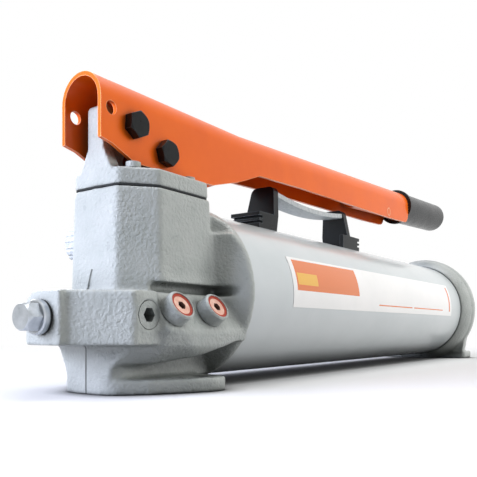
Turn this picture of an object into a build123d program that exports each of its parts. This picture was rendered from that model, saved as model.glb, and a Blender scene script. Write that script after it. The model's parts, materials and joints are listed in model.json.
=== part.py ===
"""Two-speed hydraulic hand pump with a tubular steel reservoir, a cast head and a lever handle.

Millimetres. The origin is on the floor under the plunger's axis, +X runs back along the
reservoir to the handle's grip, +Z is up. The ports are on the -Y side, the release knob on +Y.
"""

import os
from math import cos, radians, sin, sqrt, tan

from build123d import *

os.makedirs("parts", exist_ok=True)

# ---- reservoir tube
tube_od = 101.6
tube_wall = 3.0
tube_length = 432.0
tube_front_x = 34.0
floor_gap = 5.2

# ---- seals and fits
running_gap = 0.10
loose_gap = 0.30
spigot_gap = 0.20
spigot_length = 14.0
spigot_wall = 7.0
seal_groove_depth = 2.6
seal_groove_width = 3.8

# ---- head casting
tower_front_x = -41.0
tower_corner_x = -23.2
tower_rear_x = 20.0
tower_half_width = 31.0
tower_front_half_width = 16.5
front_crown = 0.6
tower_rise = 1.8
tower_draft = 1.6
tower_corner_radius = 4.5
ledge_z = 58.5
lip_height = 3.6
lip_proud = 1.2
waist_half_width = 26.0
waist_front_x = -31.0
bell_rim_width = 7.0
shoulder_top_z = 90.0
bell_proud = 2.0
bell_edge_radius = 3.0
block_end_x = -73.8
block_end_half_width = 13.3
nose_land = 4.6
nose_corner = 6.0
block_corner_x = -51.0
block_half_width = 40.3
block_top_z = 53.2
block_bottom_z = 26.0
block_corner_radius = 2.5
boss_tilt = 32.0
belly_front_x = -34.0
belly_top_half_width = 34.5
belly_widest_z = 33.0
belly_turn_z = 25.0
belly_edge_z = 15.5
belly_edge_half_width = 36.0
belly_turn_in = 1.0
# at the belly's widest level, where it turns under, and at its lower edge
belly_side_back = [14.0, 20.0, 29.0]
belly_corner_back = [0.0, 4.0, 6.0]
belly_corner_in = [2.0, 5.5, 6.0]
belly_nose_back = [3.0, 4.0, 0.2]
belly_nose_grow = [12.0, 9.0, 0.0]
pedestal_margin = 2.0
web_half = 20.0
web_nose_back = 8.0
web_core_back = 17.0
web_crown = 0.2
web_draft = 3.0
hollow_roof = [(-28.0, 15.5), (0.0, 19.8), (24.0, 27.0)]
mould_chip_width = 4.0
mould_chip_height = 12.0
foot_front_x = -46.2
foot_thickness = 8.0
foot_half_width = 47.0
foot_rear_x = 20.0
foot_ear_length = 13.5
foot_ear_step = 6.0
foot_cheek_back = 15.6
foot_cheek_half_width = 30.5
foot_nose_half_width = 17.2
foot_corner_radius = 12.0
foot_front_radius = 14.0
foot_hole_x = 2.0
foot_hole_y = 35.0
foot_hole_r = 4.5

# ---- cover and fulcrum post
gasket_thickness = 0.8
cover_thickness = 9.0
cover_inset = 0.4
cover_screw_points = [(-30.0, 18.0), (12.0, 20.0)]
cover_screw_r = 2.5
cover_screw_head_r = 4.0
cover_screw_socket_r = 1.5
cover_screw_head_height = 3.2
cover_screw_length = 18.0
post_front_x = -40.2
post_depth = 7.4
post_half_width = 6.2
post_rise = 34.6
web_half_width = 3.4
eye_radius = 9.0

# ---- handle
fulcrum_x = -26.4
fulcrum_rise = 24.0
pin_offset_x = 24.0
pin_drop = 9.7
pin_r = 4.0
pin_head_af = 13.0
pin_head_height = 5.3
pin_head_turns = {"fulcrum": 26.0, "plunger_pin": 48.0}
pin_nut_height = 6.8
pin_end_beyond = 1.5
head_face_share = 0.95
head_cone_angle = 60.0
spacer_radius = 7.0
beam_half_width = 15.0
beam_sheet = 2.3
beam_front_x = -49.6
beam_rise_above_cover = 48.6
beam_bend_x = 80.0
beam_rise = 2.8
beam_rear_x = 382.0
beam_end_radius = 10.0
beam_cheek_gap = 4.2
cheek_front_rise = 12.6
cheek_knee_x = -41.6
cheek_knee_rise = 11.0
cheek_corner_x = -25.2
beam_under_edge = [(-38.0, 1.0), (-10.0, 8.4), (14.6, 17.4), (71.0, 19.6)]
beam_rear_under_edge = [(-52.0, 23.2), (0.0, 25.4)]
lock_hole_x = -42.5
lock_hole_rise = 29.1
lock_hole_r = 3.5
handle_tube_wall = 2.6
handle_tube_front_x = 274.0
grip_length = 128.0
grip_wall = 3.4
grip_rim_radius = 18.2
grip_rim_length = 3.5
grip_end_thickness = 4.0

# ---- plunger
rod_r = 8.0
piston_r = 12.9
piston_length = 10.0
piston_rest_gap = 2.0
low_bore_bottom_z = 62.0
high_plunger_r = 5.9
high_bore_bottom_z = 35.0
plunger_tip_z = 39.0
plunger_eye_radius = 9.5
plunger_eye_half_width = 6.0
pin_slot_gap = 0.4
slot_half_travel = 1.3
slot_centre_x = -1.45
gland_r = 15.5
gland_length = 13.0
wiper_r = 12.0
wiper_height = 5.0
high_seal_r = 10.0
high_seal_height = 5.0

# ---- ports and valves
port_z = 39.8
port_thread_r = 6.8
port_thread_depth = 16.0
check_chamber_r = 5.5
check_ball_r = 4.0
check_seat_r = 2.5
outlet_seat_x = -10.0
outlet_retainer_x = -26.0
retainer_length = 8.0
inlet_chamber_x = 12.0
inlet_seat_x = 26.0
plug_hex_af = 13.2
plug_hex_length = 7.4
plug_face_share = 0.94
plug_flange_r = 8.6
plug_flange_length = 3.2
plug_washer_r = 8.6
plug_washer_thickness = 1.2
gauge_port_x = -41.5
gauge_port_z = 41.0
gauge_plug_r = 7.0
gauge_collar_r = 8.6
gauge_collar_height = 0.8
valve_xs = {"relief": -25.0, "unloader": 4.0}
valve_z = 42.3
valve_cap_r = 8.4
valve_cap_height = 8.0
valve_shank_r = 6.6
valve_shank_length = 9.0
valve_chamber_r = 4.2
valve_chamber_depth = 24.0
valve_seat_r = 1.8
valve_ball_r = 3.0
adjuster_r = 5.4
adjuster_depth = 6.0
ring_r = 6.9
ring_recess = 1.4
socket_af = 4.5

# ---- release valve
release_x = -5.0
release_drop = 22.6
release_boss_r = 12.0
release_boss_height = 3.0
release_gland_r = 7.0
release_gland_depth = 12.0
release_stem_r = 4.0
release_seat_y = 18.0
release_seat_length = 4.0
release_drill_r = 1.4
knob_r = 11.5
knob_length = 15.0
knob_flutes = 18

# ---- rear end cap
cap_ring_proud = 9.9
cap_ring_width = 10.0
cap_flare_length = 15.0
cap_flare_lip = 1.4
cap_disc = 10.0
rear_foot_half_width = 50.0
rear_foot_length = 20.0
rear_foot_hole_y = 38.0
filler_rise = 30.0
filler_shank_r = 8.0
filler_head_r = 13.0
filler_head_height = 11.0
filler_seal_thickness = 1.5

# ---- tie rod
tie_rod_r = 6.0
tie_rod_engagement = 14.0
tie_nut_af = 19.0
tie_nut_height = 10.0
tie_washer_r = 11.0
tie_washer_thickness = 1.6
tie_rod_beyond = 3.0

# ---- carrying handle
carry_front_x = 98.0
carry_span = 165.0
carry_tongue_length = 23.0
carry_leg_thickness = 6.0
carry_tongue_height = 10.0
carry_lean = 7.0
carry_rib_height = 1.8
carry_rib_depth = 3.8
carry_rib_wall = 1.2
carry_root_depth = 6.0
carry_tongue_taper = 1.0
carry_leg_taper = 3.0
carry_leg_corner_radius = 5.0
carry_seat_share = 0.45
carry_socket_wall = 2.0
carry_clip_length = 8.0
carry_clip_width = 3.5
carry_clip_root = 4.0
carry_clip_drop = 2.0
carry_half_width = 12.5
carry_leg_height = 32.2
strap_half_width = 9.0
strap_thickness = 4.0
strap_sag = 4.0
strap_drop = 3.0
carry_screw_r = 2.5
carry_screw_head_r = 4.5
carry_screw_head_height = 2.4
carry_screw_clearance = 0.5

# ---- label
label_front_x = 80.0
label_rear_gap = 35.0
label_low_angle = 9.0
label_high_angle = 29.5
label_thickness = 0.25

# ---- worked out from the sizes above
cast_overlap = 1.0
body_rear_x = tube_front_x - cast_overlap
tube_r = tube_od / 2
tube_inner_r = tube_r - tube_wall
tube_axis_z = tube_r + floor_gap
tube_rear_x = tube_front_x + tube_length
tube_top_z = tube_axis_z + tube_r
bell_radius = tube_r + bell_proud
tower_top_z = tube_top_z + tower_rise
spigot_r = tube_inner_r - spigot_gap
seal_groove_r = spigot_r - seal_groove_depth
seal_mid_r = (tube_inner_r + seal_groove_r) / 2
seal_section_r = (tube_inner_r - seal_groove_r) / 2
front_seal_x = tube_front_x + spigot_length * 0.62
rear_seal_x = tube_rear_x - spigot_length * 0.62
spigot_end_x = tube_front_x + spigot_length
cover_bottom_z = tower_top_z + gasket_thickness
cover_top_z = cover_bottom_z + cover_thickness
post_top_z = cover_top_z + post_rise
fulcrum_z = cover_top_z + fulcrum_rise
beam_top_z = cover_top_z + beam_rise_above_cover
cheek_front_z = cover_top_z + cheek_front_rise
cheek_knee_z = cover_top_z + cheek_knee_rise
lock_hole_z = cover_top_z + lock_hole_rise
release_z = tower_top_z - release_drop
low_bore_r = piston_r + running_gap
high_bore_r = high_plunger_r + running_gap
gland_seat_z = tower_top_z - gland_length
piston_bottom_z = low_bore_bottom_z + piston_rest_gap
piston_top_z = piston_bottom_z + piston_length
pin_x = fulcrum_x + pin_offset_x
pin_z = fulcrum_z - pin_drop
beam_inner = beam_half_width - beam_sheet
arch_z = beam_top_z - beam_half_width
rise_cos = cos(radians(beam_rise))
rise_sin = sin(radians(beam_rise))
tilt_cos = cos(radians(boss_tilt))
tilt_sin = sin(radians(boss_tilt))
belly_slope = tan(radians(boss_tilt))
cap_front_x = tube_rear_x - cap_flare_length
cap_back_x = tube_rear_x + cap_ring_width + 4.0
cap_ring_radius = tube_r + cap_ring_proud
label_length = cap_front_x - label_rear_gap - label_front_x
tie_nut_x = cap_back_x + tie_washer_thickness
filler_z = tube_axis_z + filler_rise
carry_rear_x = carry_front_x + carry_span
carry_recess_r = carry_screw_head_r + carry_screw_clearance
carry_screw_inset = carry_rib_depth + carry_rib_wall + carry_recess_r
carry_screw_xs = [carry_front_x + carry_screw_inset, carry_rear_x - carry_screw_inset]
carry_root_z = tube_top_z - carry_root_depth
carry_tongue_z = tube_top_z + carry_tongue_height
carry_seat_z = tube_top_z + carry_tongue_height * carry_seat_share
carry_leg_top_z = tube_top_z + carry_leg_height


def valve_y(z):
    """Distance of the sloping port face from the middle plane at height z."""
    return belly_top_half_width + (block_top_z - z) * belly_slope


def valve_plane(x, lift=0.0):
    """A plane on the sloping port face at x, its normal out along the valve's axis."""
    origin = (x, -valve_y(valve_z) - lift * tilt_cos, valve_z + lift * tilt_sin)
    return Plane(origin=origin, x_dir=(1, 0, 0), z_dir=(0, -tilt_cos, tilt_sin))


def rear_plane(x):
    """A plane square to the rising rear part of the handle, on its tube's axis at x."""
    axis_z = beam_top_z + (x - beam_bend_x) * tan(radians(beam_rise)) - beam_half_width
    return Plane(origin=(x, 0, axis_z), x_dir=(0, 1, 0), z_dir=(rise_cos, 0, rise_sin))


def near_plane(y):
    """An upright plane at distance y on the port side, facing out."""
    return Plane(origin=(0, -y, 0), x_dir=(1, 0, 0), z_dir=(0, -1, 0))


def far_plane(y):
    """An upright plane at distance y on the release knob's side, facing out."""
    return Plane(origin=(0, y, 0), x_dir=(-1, 0, 0), z_dir=(0, 1, 0))


def tower_outline(grow):
    """Half of the tower's eight-sided plan, grown sideways, from back to front."""
    return [
        (tower_rear_x + grow, 0),
        (tower_rear_x + grow, tower_half_width + grow),
        (tower_corner_x - grow * 0.4, tower_half_width + grow),
        (tower_front_x + front_crown - grow, tower_front_half_width + grow * 0.4),
        (tower_front_x - grow, 0),
    ]


# ---------------------------------------------------------------- head casting pieces
draft_growth = (tower_top_z - block_top_z + 1) * tan(radians(tower_draft))
belly_half_width = valve_y(belly_widest_z)
pedestal_half_width = tower_front_half_width + pedestal_margin
# half plans of the belly at three levels, from its rear to the corner of its front
belly_levels = {
    belly_widest_z: belly_half_width,
    belly_turn_z: belly_half_width - belly_turn_in,
    belly_edge_z: belly_edge_half_width,
}
belly_plans = {
    z: [
        (body_rear_x, 0),
        (body_rear_x, half_width),
        (belly_front_x + belly_side_back[level], half_width),
        (belly_front_x + belly_corner_back[level], half_width - belly_corner_in[level]),
        (foot_front_x + belly_nose_back[level], pedestal_half_width + belly_nose_grow[level]),
    ]
    for level, (z, half_width) in enumerate(belly_levels.items())
}
web_fronts = {
    belly_edge_z: pedestal_half_width,
    foot_thickness - cast_overlap: pedestal_half_width - web_draft,
}

with BuildPart() as shoulder:
    # the flare from the tower's sides out to the round bell, flat on top
    with BuildSketch(Plane.XY.offset(ledge_z)):
        with BuildLine():
            Polyline(
                (tube_front_x, 0),
                (tube_front_x, bell_radius),
                (tower_rear_x, tower_half_width + draft_growth),
                (tower_rear_x - 14, tower_half_width),
                (tower_rear_x - 14, 0),
            )
            mirror(about=Plane.XZ)
        make_face()
    extrude(amount=shoulder_top_z - ledge_z)
    # the narrower neck above it, from the tower's back to the top of the bell
    with BuildSketch(Plane.XY.offset(ledge_z)):
        with BuildLine():
            Polyline(
                (tube_front_x, 0),
                (tube_front_x, bell_radius * 0.74),
                (tower_rear_x - 1, tower_half_width * 0.78),
                (tower_rear_x - 1, 0),
            )
            mirror(about=Plane.XZ)
        make_face()
    extrude(amount=tower_top_z - ledge_z)
    with Locations(Location((0, 0, tube_axis_z), (0, 90, 0))):
        Cylinder(bell_radius, 4 * tube_front_x, mode=Mode.INTERSECT)

with BuildPart() as lower_body:
    # belly: the port face slopes outwards going down
    with BuildSketch(Plane.YZ.offset(belly_front_x)) as belly_section:
        with BuildLine():
            Polyline(
                (0, block_top_z),
                (belly_top_half_width, block_top_z),
                (belly_half_width, belly_widest_z),
                (0, belly_widest_z),
            )
            mirror(about=Plane.YZ)
        make_face()
        fillet(belly_section.vertices().group_by(Axis.Y)[-1], block_corner_radius)
    extrude(amount=body_rear_x - belly_front_x)
    # then it turns under, and narrows to the front and to its lower edge
    for z, side_points in belly_plans.items():
        with BuildSketch(Plane.XY.offset(z)):
            with BuildLine():
                Polyline(*side_points, (foot_front_x, 0))
                mirror(about=Plane.XZ)
            make_face()
    loft(ruled=True)
    # the hollow's roof rises towards the bell
    with BuildSketch(Plane.XZ):
        with BuildLine():
            roof = Polyline(*hollow_roof, (tube_front_x, hollow_roof[-1][1]))
            Polyline(
                roof @ 1,
                (tube_front_x, belly_edge_z - 1),
                (hollow_roof[0][0], belly_edge_z - 1),
                roof @ 0,
            )
        make_face()
    extrude(amount=foot_half_width + 5, both=True, mode=Mode.SUBTRACT)
    # web between the two hollows, down to the foot
    for z, front_half_width in web_fronts.items():
        with BuildSketch(Plane.XY.offset(z)):
            with BuildLine():
                Polyline(
                    (body_rear_x, 0),
                    (body_rear_x, web_half),
                    (foot_front_x + web_nose_back, web_half),
                    (foot_front_x + web_crown, front_half_width),
                    (foot_front_x, 0),
                )
                mirror(about=Plane.XZ)
            make_face()
    loft(ruled=True)
    with BuildSketch(Plane.XY.offset(belly_edge_z)):
        with Locations(((body_rear_x + foot_front_x + web_core_back) / 2, 0)):
            Rectangle(body_rear_x - foot_front_x - web_core_back, 2 * web_half)
    extrude(amount=belly_widest_z - belly_edge_z)

with BuildPart() as head_casting:
    # tower
    with BuildSketch(Plane.XY.offset(block_top_z - 1)) as tower_plan:
        with BuildLine():
            Polyline(*tower_outline(draft_growth))
            mirror(about=Plane.XZ)
        make_face()
        fillet(tower_plan.vertices(), tower_corner_radius)
    extrude(amount=tower_top_z - block_top_z + 1, taper=tower_draft)
    # recessed waist between the tower's lower edge and the port body
    with BuildSketch(Plane.XY.offset(block_top_z)):
        with BuildLine():
            waist_line = Polyline(
                (tube_front_x, waist_half_width),
                (waist_front_x + 5, waist_half_width),
                (waist_front_x, waist_half_width + 5),
                (waist_front_x, bell_radius),
                (tube_front_x, bell_radius),
                close=True,
            )
        make_face()
        mirror(about=Plane.XZ)
    extrude(amount=ledge_z - block_top_z, mode=Mode.SUBTRACT)
    # lip along the tower's lower edge, over the recess
    with BuildSketch(Plane.XY.offset(ledge_z)) as lip_plan:
        with BuildLine():
            Polyline(
                (tube_front_x - 3, 0),
                (tube_front_x - 3, bell_radius - 6),
                (tower_rear_x, tower_half_width + draft_growth + lip_proud),
                (tower_corner_x, tower_half_width + draft_growth + lip_proud),
                (waist_front_x, tower_half_width - 5),
                (waist_front_x, 0),
            )
            mirror(about=Plane.XZ)
        make_face()
        fillet(lip_plan.vertices(), tower_corner_radius)
    extrude(amount=lip_height, taper=12)
    add(shoulder.part)
    # bell that meets the reservoir tube
    with BuildSketch(Plane.XZ):
        with BuildLine():
            bell_axis_line = Line((tube_front_x, tube_axis_z), (tower_rear_x - 2, tube_axis_z))
            cone = Polyline(
                bell_axis_line @ 1,
                (tower_rear_x - 2, tube_axis_z + tower_half_width),
                (tube_front_x - 2 * bell_edge_radius, tube_axis_z + bell_radius - bell_edge_radius),
            )
            crown = RadiusArc(
                cone @ 1,
                (tube_front_x - bell_edge_radius, tube_axis_z + bell_radius),
                1.5 * bell_edge_radius,
            )
            Polyline(crown @ 1, (tube_front_x, tube_axis_z + bell_radius), bell_axis_line @ 0)
        make_face()
    revolve(axis=Axis((0, 0, tube_axis_z), (1, 0, 0)))
    # the recess runs on into the bell, as far as its rim
    with BuildSketch(Plane.XY.offset(block_top_z)) as rim_recess:
        with BuildLine():
            Polyline(
                (tower_rear_x - 6, waist_half_width),
                (tower_rear_x - 6, bell_radius + 1),
                (tube_front_x - bell_rim_width, bell_radius + 1),
                (tube_front_x - bell_rim_width, waist_half_width),
                close=True,
            )
        make_face()
        mirror(about=Plane.XZ)
    extrude(amount=ledge_z - block_top_z, mode=Mode.SUBTRACT)
    # valve block, with the outlet's nose in front
    with BuildSketch(Plane.XY.offset(block_bottom_z)) as block_plan:
        with BuildLine():
            Polyline(
                (body_rear_x, 0),
                (body_rear_x, belly_top_half_width - 2),
                (belly_front_x, belly_top_half_width - 2),
                (belly_front_x + 1, block_half_width),
                (block_corner_x, block_half_width),
                (block_end_x + nose_land, block_end_half_width),
                (block_end_x, block_end_half_width),
                (block_end_x, 0),
            )
            mirror(about=Plane.XZ)
        make_face()
        corners = block_plan.vertices().filter_by_position(Axis.X, block_end_x + 1, tube_front_x)
        fillet(corners, block_corner_radius)
    extrude(amount=block_top_z - block_bottom_z)
    # the nose's upper corner on the far side is cast off square
    with BuildSketch(Plane.YZ.offset(block_end_x)):
        with BuildLine():
            Polyline(
                (block_end_half_width - nose_corner, block_top_z),
                (block_end_half_width + 1, block_top_z - nose_corner),
                (block_end_half_width + 1, block_top_z),
                close=True,
            )
        make_face()
    extrude(amount=nose_land + nose_corner, mode=Mode.SUBTRACT)
    add(lower_body.part)
    # foot plate
    with BuildSketch() as foot_plan:
        with BuildLine():
            Polyline(
                (foot_rear_x, 0),
                (foot_rear_x, foot_half_width),
                (foot_hole_x, foot_half_width),
                (foot_hole_x - foot_ear_length, foot_half_width - foot_ear_step),
                (foot_front_x + foot_cheek_back, foot_cheek_half_width),
                (foot_front_x, foot_nose_half_width),
                (foot_front_x, 0),
            )
            mirror(about=Plane.XZ)
        make_face()
        fillet(foot_plan.vertices().group_by(Axis.X)[-1], foot_corner_radius)
        cheek_x = foot_front_x + foot_cheek_back
        front_corners = foot_plan.vertices().filter_by_position(Axis.X, foot_front_x - 1, cheek_x + 1)
        fillet([corner for corner in front_corners if abs(corner.Y) > 1], foot_front_radius)
    extrude(amount=foot_thickness)
    # spigot and two bosses inside the reservoir
    with BuildSketch(Plane.YZ.offset(body_rear_x)):
        with Locations((0, tube_axis_z)):
            Circle(spigot_r)
            Circle(spigot_r - spigot_wall, mode=Mode.SUBTRACT)
            Circle(tie_rod_r * 2)
        with Locations((0, port_z)):
            Circle(check_chamber_r * 1.8)
    extrude(amount=spigot_length + 1)
    with BuildSketch(Plane.YZ.offset(front_seal_x - seal_groove_width / 2)):
        with Locations((0, tube_axis_z)):
            Circle(spigot_r + 1)
            Circle(seal_groove_r, mode=Mode.SUBTRACT)
    extrude(amount=seal_groove_width, mode=Mode.SUBTRACT)
    # release valve's boss on the far side
    with BuildSketch(far_plane(tower_half_width - 3)):
        with Locations((-release_x, release_z)):
            Circle(release_boss_r)
    extrude(amount=release_boss_height + 3)
    # collar round the gauge port, on the near side
    with BuildSketch(near_plane(block_half_width)):
        with Locations((gauge_port_x, gauge_port_z)):
            Circle(gauge_collar_r)
    extrude(amount=gauge_collar_height, both=True)
    # pump bores, gland seat and high pressure seal seat
    with Locations((0, 0, tower_top_z)):
        Hole(gland_r, gland_length)
        Hole(low_bore_r, tower_top_z - low_bore_bottom_z)
        Hole(high_seal_r, tower_top_z - low_bore_bottom_z + high_seal_height)
        Hole(high_bore_r, tower_top_z - high_bore_bottom_z)
        for sx, sy in cover_screw_points:
            with Locations((sx, sy), (sx, -sy)):
                Hole(cover_screw_r, cover_screw_length - cover_thickness)
    # outlet port, outlet check chamber and its seat
    with BuildSketch(Plane.YZ.offset(block_end_x)):
        with Locations((0, port_z)):
            Circle(port_thread_r)
    extrude(amount=port_thread_depth, mode=Mode.SUBTRACT)
    with BuildSketch(Plane.YZ.offset(block_end_x)):
        with Locations((0, port_z)):
            Circle(check_chamber_r)
    extrude(amount=outlet_seat_x - block_end_x, mode=Mode.SUBTRACT)
    with BuildSketch(Plane.YZ.offset(outlet_seat_x - 1)):
        with Locations((0, port_z)):
            Circle(check_seat_r)
    extrude(amount=inlet_chamber_x + 2 - outlet_seat_x, mode=Mode.SUBTRACT)
    # inlet check chamber, open to the reservoir
    with BuildSketch(Plane.YZ.offset(inlet_chamber_x)):
        with Locations((0, port_z)):
            Circle(check_chamber_r)
    extrude(amount=spigot_end_x - inlet_chamber_x, mode=Mode.SUBTRACT)
    # tie rod's thread
    with BuildSketch(Plane.YZ.offset(spigot_end_x - tie_rod_engagement)):
        with Locations((0, tube_axis_z)):
            Circle(tie_rod_r)
    extrude(amount=tie_rod_engagement, mode=Mode.SUBTRACT)
    # gauge port and its cross drilling into the outlet passage
    with BuildSketch(near_plane(block_half_width)):
        with Locations((gauge_port_x, gauge_port_z)):
            Circle(gauge_plug_r)
    extrude(amount=port_thread_depth, both=True, mode=Mode.SUBTRACT)
    with BuildSketch(near_plane(block_half_width)):
        with Locations((gauge_port_x, gauge_port_z)):
            Circle(check_seat_r)
    extrude(amount=-block_half_width, mode=Mode.SUBTRACT)
    # relief and unloading valve bores
    for valve_x in valve_xs.values():
        with BuildSketch(valve_plane(valve_x)):
            Circle(valve_cap_r + 0.6)
        extrude(amount=valve_cap_height, mode=Mode.SUBTRACT)
        with BuildSketch(valve_plane(valve_x)):
            Circle(valve_shank_r)
        extrude(amount=-valve_shank_length, mode=Mode.SUBTRACT)
        with BuildSketch(valve_plane(valve_x)):
            Circle(valve_chamber_r)
        extrude(amount=-valve_chamber_depth, mode=Mode.SUBTRACT)
        with BuildSketch(valve_plane(valve_x)):
            Circle(valve_seat_r)
        extrude(amount=-valve_chamber_depth - 9, mode=Mode.SUBTRACT)
    # release valve's gland thread, ball chamber and drillings
    release_face_y = tower_half_width + release_boss_height
    with BuildSketch(far_plane(release_face_y)):
        with Locations((-release_x, release_z)):
            Circle(release_gland_r)
    extrude(amount=-release_gland_depth, mode=Mode.SUBTRACT)
    with BuildSketch(far_plane(release_face_y)):
        with Locations((-release_x, release_z)):
            Circle(release_stem_r + loose_gap)
    extrude(amount=release_seat_y - release_face_y, mode=Mode.SUBTRACT)
    with BuildSketch(far_plane(release_seat_y)):
        with Locations((-release_x, release_z)):
            Circle(valve_seat_r)
    extrude(amount=-release_seat_length, mode=Mode.SUBTRACT)
    with BuildSketch(Plane.XY.offset(port_z)):
        with Locations((release_x, release_seat_y - release_seat_length / 2)):
            Circle(release_drill_r)
    extrude(amount=release_z - port_z, mode=Mode.SUBTRACT)
    # bolt holes through the foot
    with BuildSketch():
        with Locations((foot_hole_x, foot_hole_y), (foot_hole_x, -foot_hole_y)):
            Circle(foot_hole_r)
    extrude(amount=foot_thickness + 1, mode=Mode.SUBTRACT)
    # corner of the mould that broke out at the foot of the parting line
    with BuildSketch(Plane.YZ.offset(tower_front_x)):
        with BuildLine():
            Polyline(
                (0, block_top_z),
                (mould_chip_width, block_top_z),
                (mould_chip_width * 0.3, block_top_z + mould_chip_height * 0.5),
                (0, block_top_z + mould_chip_height),
                close=True,
            )
        make_face()
    extrude(amount=-2 * draft_growth, mode=Mode.SUBTRACT)
    # flat floor face
    with BuildSketch():
        Rectangle(4 * tube_od, 2 * tube_od)
    extrude(amount=-20, mode=Mode.SUBTRACT)
head_casting.part.label = "head_casting"
export_step(head_casting.part, "parts/head_casting.step")

# ---------------------------------------------------------------- cover with its fulcrum post
screw_places = [(x, side * y) for x, y in cover_screw_points for side in (1, -1)]

with BuildPart() as cover_gasket:
    with BuildSketch(Plane.XY.offset(tower_top_z)) as gasket_plan:
        with BuildLine():
            Polyline(*tower_outline(-2 * cover_inset))
            mirror(about=Plane.XZ)
        make_face()
        fillet(gasket_plan.vertices(), tower_corner_radius)
    extrude(amount=gasket_thickness)
    with Locations((0, 0, cover_bottom_z)):
        Hole(gland_r - 2)
    with Locations(*[(x, y, cover_bottom_z) for x, y in screw_places]):
        Hole(cover_screw_r)
cover_gasket.part.label = "cover_gasket"
export_step(cover_gasket.part, "parts/cover_gasket.step")

with BuildPart() as head_cover:
    with BuildSketch(Plane.XY.offset(cover_bottom_z)) as cover_plan:
        with BuildLine():
            Polyline(*tower_outline(-cover_inset))
            mirror(about=Plane.XZ)
        make_face()
        fillet(cover_plan.vertices(), tower_corner_radius)
    extrude(amount=cover_thickness, taper=tower_draft)
    fillet(head_cover.faces().sort_by(Axis.Z)[-1].edges(), 1.0)
    # upright front flange of the post, widening into the cover
    with BuildSketch(Plane.XZ) as post_profile:
        with Locations((post_front_x + post_depth / 2, (post_top_z + cover_top_z) / 2 - 1)):
            Rectangle(post_depth, post_top_z - cover_top_z + 2)
        fillet(post_profile.vertices().group_by(Axis.Y)[-1], post_depth * 0.45)
    extrude(amount=post_half_width, both=True)
    with BuildSketch(Plane.YZ.offset(post_front_x)):
        with BuildLine():
            Polyline(
                (0, cover_bottom_z + 1),
                (2.1 * post_half_width, cover_bottom_z + 1),
                (1.9 * post_half_width, cover_top_z),
                (1.1 * post_half_width, cover_top_z + 10),
                (0, cover_top_z + 12),
            )
            mirror(about=Plane.YZ)
        make_face()
    extrude(amount=post_depth)
    # web from the flange back to the fulcrum eye
    with BuildSketch(Plane.XZ):
        with BuildLine():
            Polyline(
                (post_front_x + 2, cover_top_z - 1),
                (post_front_x + 2, fulcrum_z),
                (fulcrum_x, fulcrum_z),
                (fulcrum_x + eye_radius - 1, fulcrum_z - 2),
                (fulcrum_x + 4, fulcrum_z - eye_radius - 6),
                (fulcrum_x + 2, cover_top_z - 1),
                close=True,
            )
        make_face()
    extrude(amount=web_half_width, both=True)
    with BuildSketch(Plane.XZ):
        with Locations((fulcrum_x, fulcrum_z)):
            Circle(eye_radius)
        with BuildLine():
            Polyline(
                (post_front_x + 2, fulcrum_z - 5),
                (post_front_x + 2, post_top_z - 3),
                (fulcrum_x, fulcrum_z + eye_radius),
                (fulcrum_x, fulcrum_z - eye_radius),
                close=True,
            )
        make_face()
    extrude(amount=post_half_width, both=True)
    with BuildSketch(Plane.XZ):
        with Locations((fulcrum_x, fulcrum_z)):
            Circle(pin_r + running_gap)
    extrude(amount=2 * post_half_width, both=True, mode=Mode.SUBTRACT)
    # rod bore with the wiper's seat, and screw holes
    with Locations((0, 0, cover_top_z)):
        Hole(rod_r + running_gap)
        Hole(wiper_r, wiper_height)
    with Locations(*[(x, y, cover_top_z) for x, y in screw_places]):
        Hole(cover_screw_r)
head_cover.part.label = "head_cover"
export_step(head_cover.part, "parts/head_cover.step")

with BuildPart() as cover_screws:
    for x, y in screw_places:
        with BuildSketch(Plane.XY.offset(cover_top_z)):
            with Locations((x, y)):
                Circle(cover_screw_head_r)
        extrude(amount=cover_screw_head_height)
        with BuildSketch(Plane.XY.offset(cover_top_z)):
            with Locations((x, y)):
                Circle(cover_screw_r)
        extrude(amount=-cover_screw_length)
        with BuildSketch(Plane.XY.offset(cover_top_z + cover_screw_head_height)):
            with Locations((x, y)):
                RegularPolygon(cover_screw_socket_r, 6, major_radius=False)
        extrude(amount=-cover_screw_head_height * 0.7, mode=Mode.SUBTRACT)
cover_screws.part.label = "cover_screws"
export_step(cover_screws.part, "parts/cover_screws.step")

with BuildPart() as plunger_gland:
    with Locations((0, 0, gland_seat_z + gland_length / 2)):
        Cylinder(gland_r, gland_length)
    with Locations((0, 0, tower_top_z)):
        Hole(rod_r + running_gap)
    with BuildSketch(Plane.XY.offset(tower_top_z - 4)):
        Circle(rod_r + 3)
    extrude(amount=4, mode=Mode.SUBTRACT)
plunger_gland.part.label = "plunger_gland"
export_step(plunger_gland.part, "parts/plunger_gland.step")

with BuildPart() as rod_seal:
    with BuildSketch(Plane.XY.offset(tower_top_z - 4)):
        Circle(rod_r + 3)
        Circle(rod_r + running_gap, mode=Mode.SUBTRACT)
    extrude(amount=4)
rod_seal.part.label = "rod_seal"
export_step(rod_seal.part, "parts/rod_seal.step")

with BuildPart() as rod_wiper:
    with BuildSketch(Plane.XZ) as wiper_section:
        with BuildLine():
            Polyline(
                (wiper_r, cover_top_z - wiper_height),
                (wiper_r, cover_top_z),
                (rod_r + 2.4, cover_top_z),
                (rod_r + running_gap, cover_top_z + 1.4),
                (rod_r + running_gap, cover_top_z - wiper_height),
                close=True,
            )
        make_face()
    revolve(axis=Axis.Z)
rod_wiper.part.label = "rod_wiper"
export_step(rod_wiper.part, "parts/rod_wiper.step")

with BuildPart() as high_pressure_seal:
    with BuildSketch(Plane.XY.offset(low_bore_bottom_z - high_seal_height)):
        Circle(high_seal_r)
        Circle(high_bore_r, mode=Mode.SUBTRACT)
    extrude(amount=high_seal_height)
high_pressure_seal.part.label = "high_pressure_seal"
export_step(high_pressure_seal.part, "parts/high_pressure_seal.step")

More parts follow.
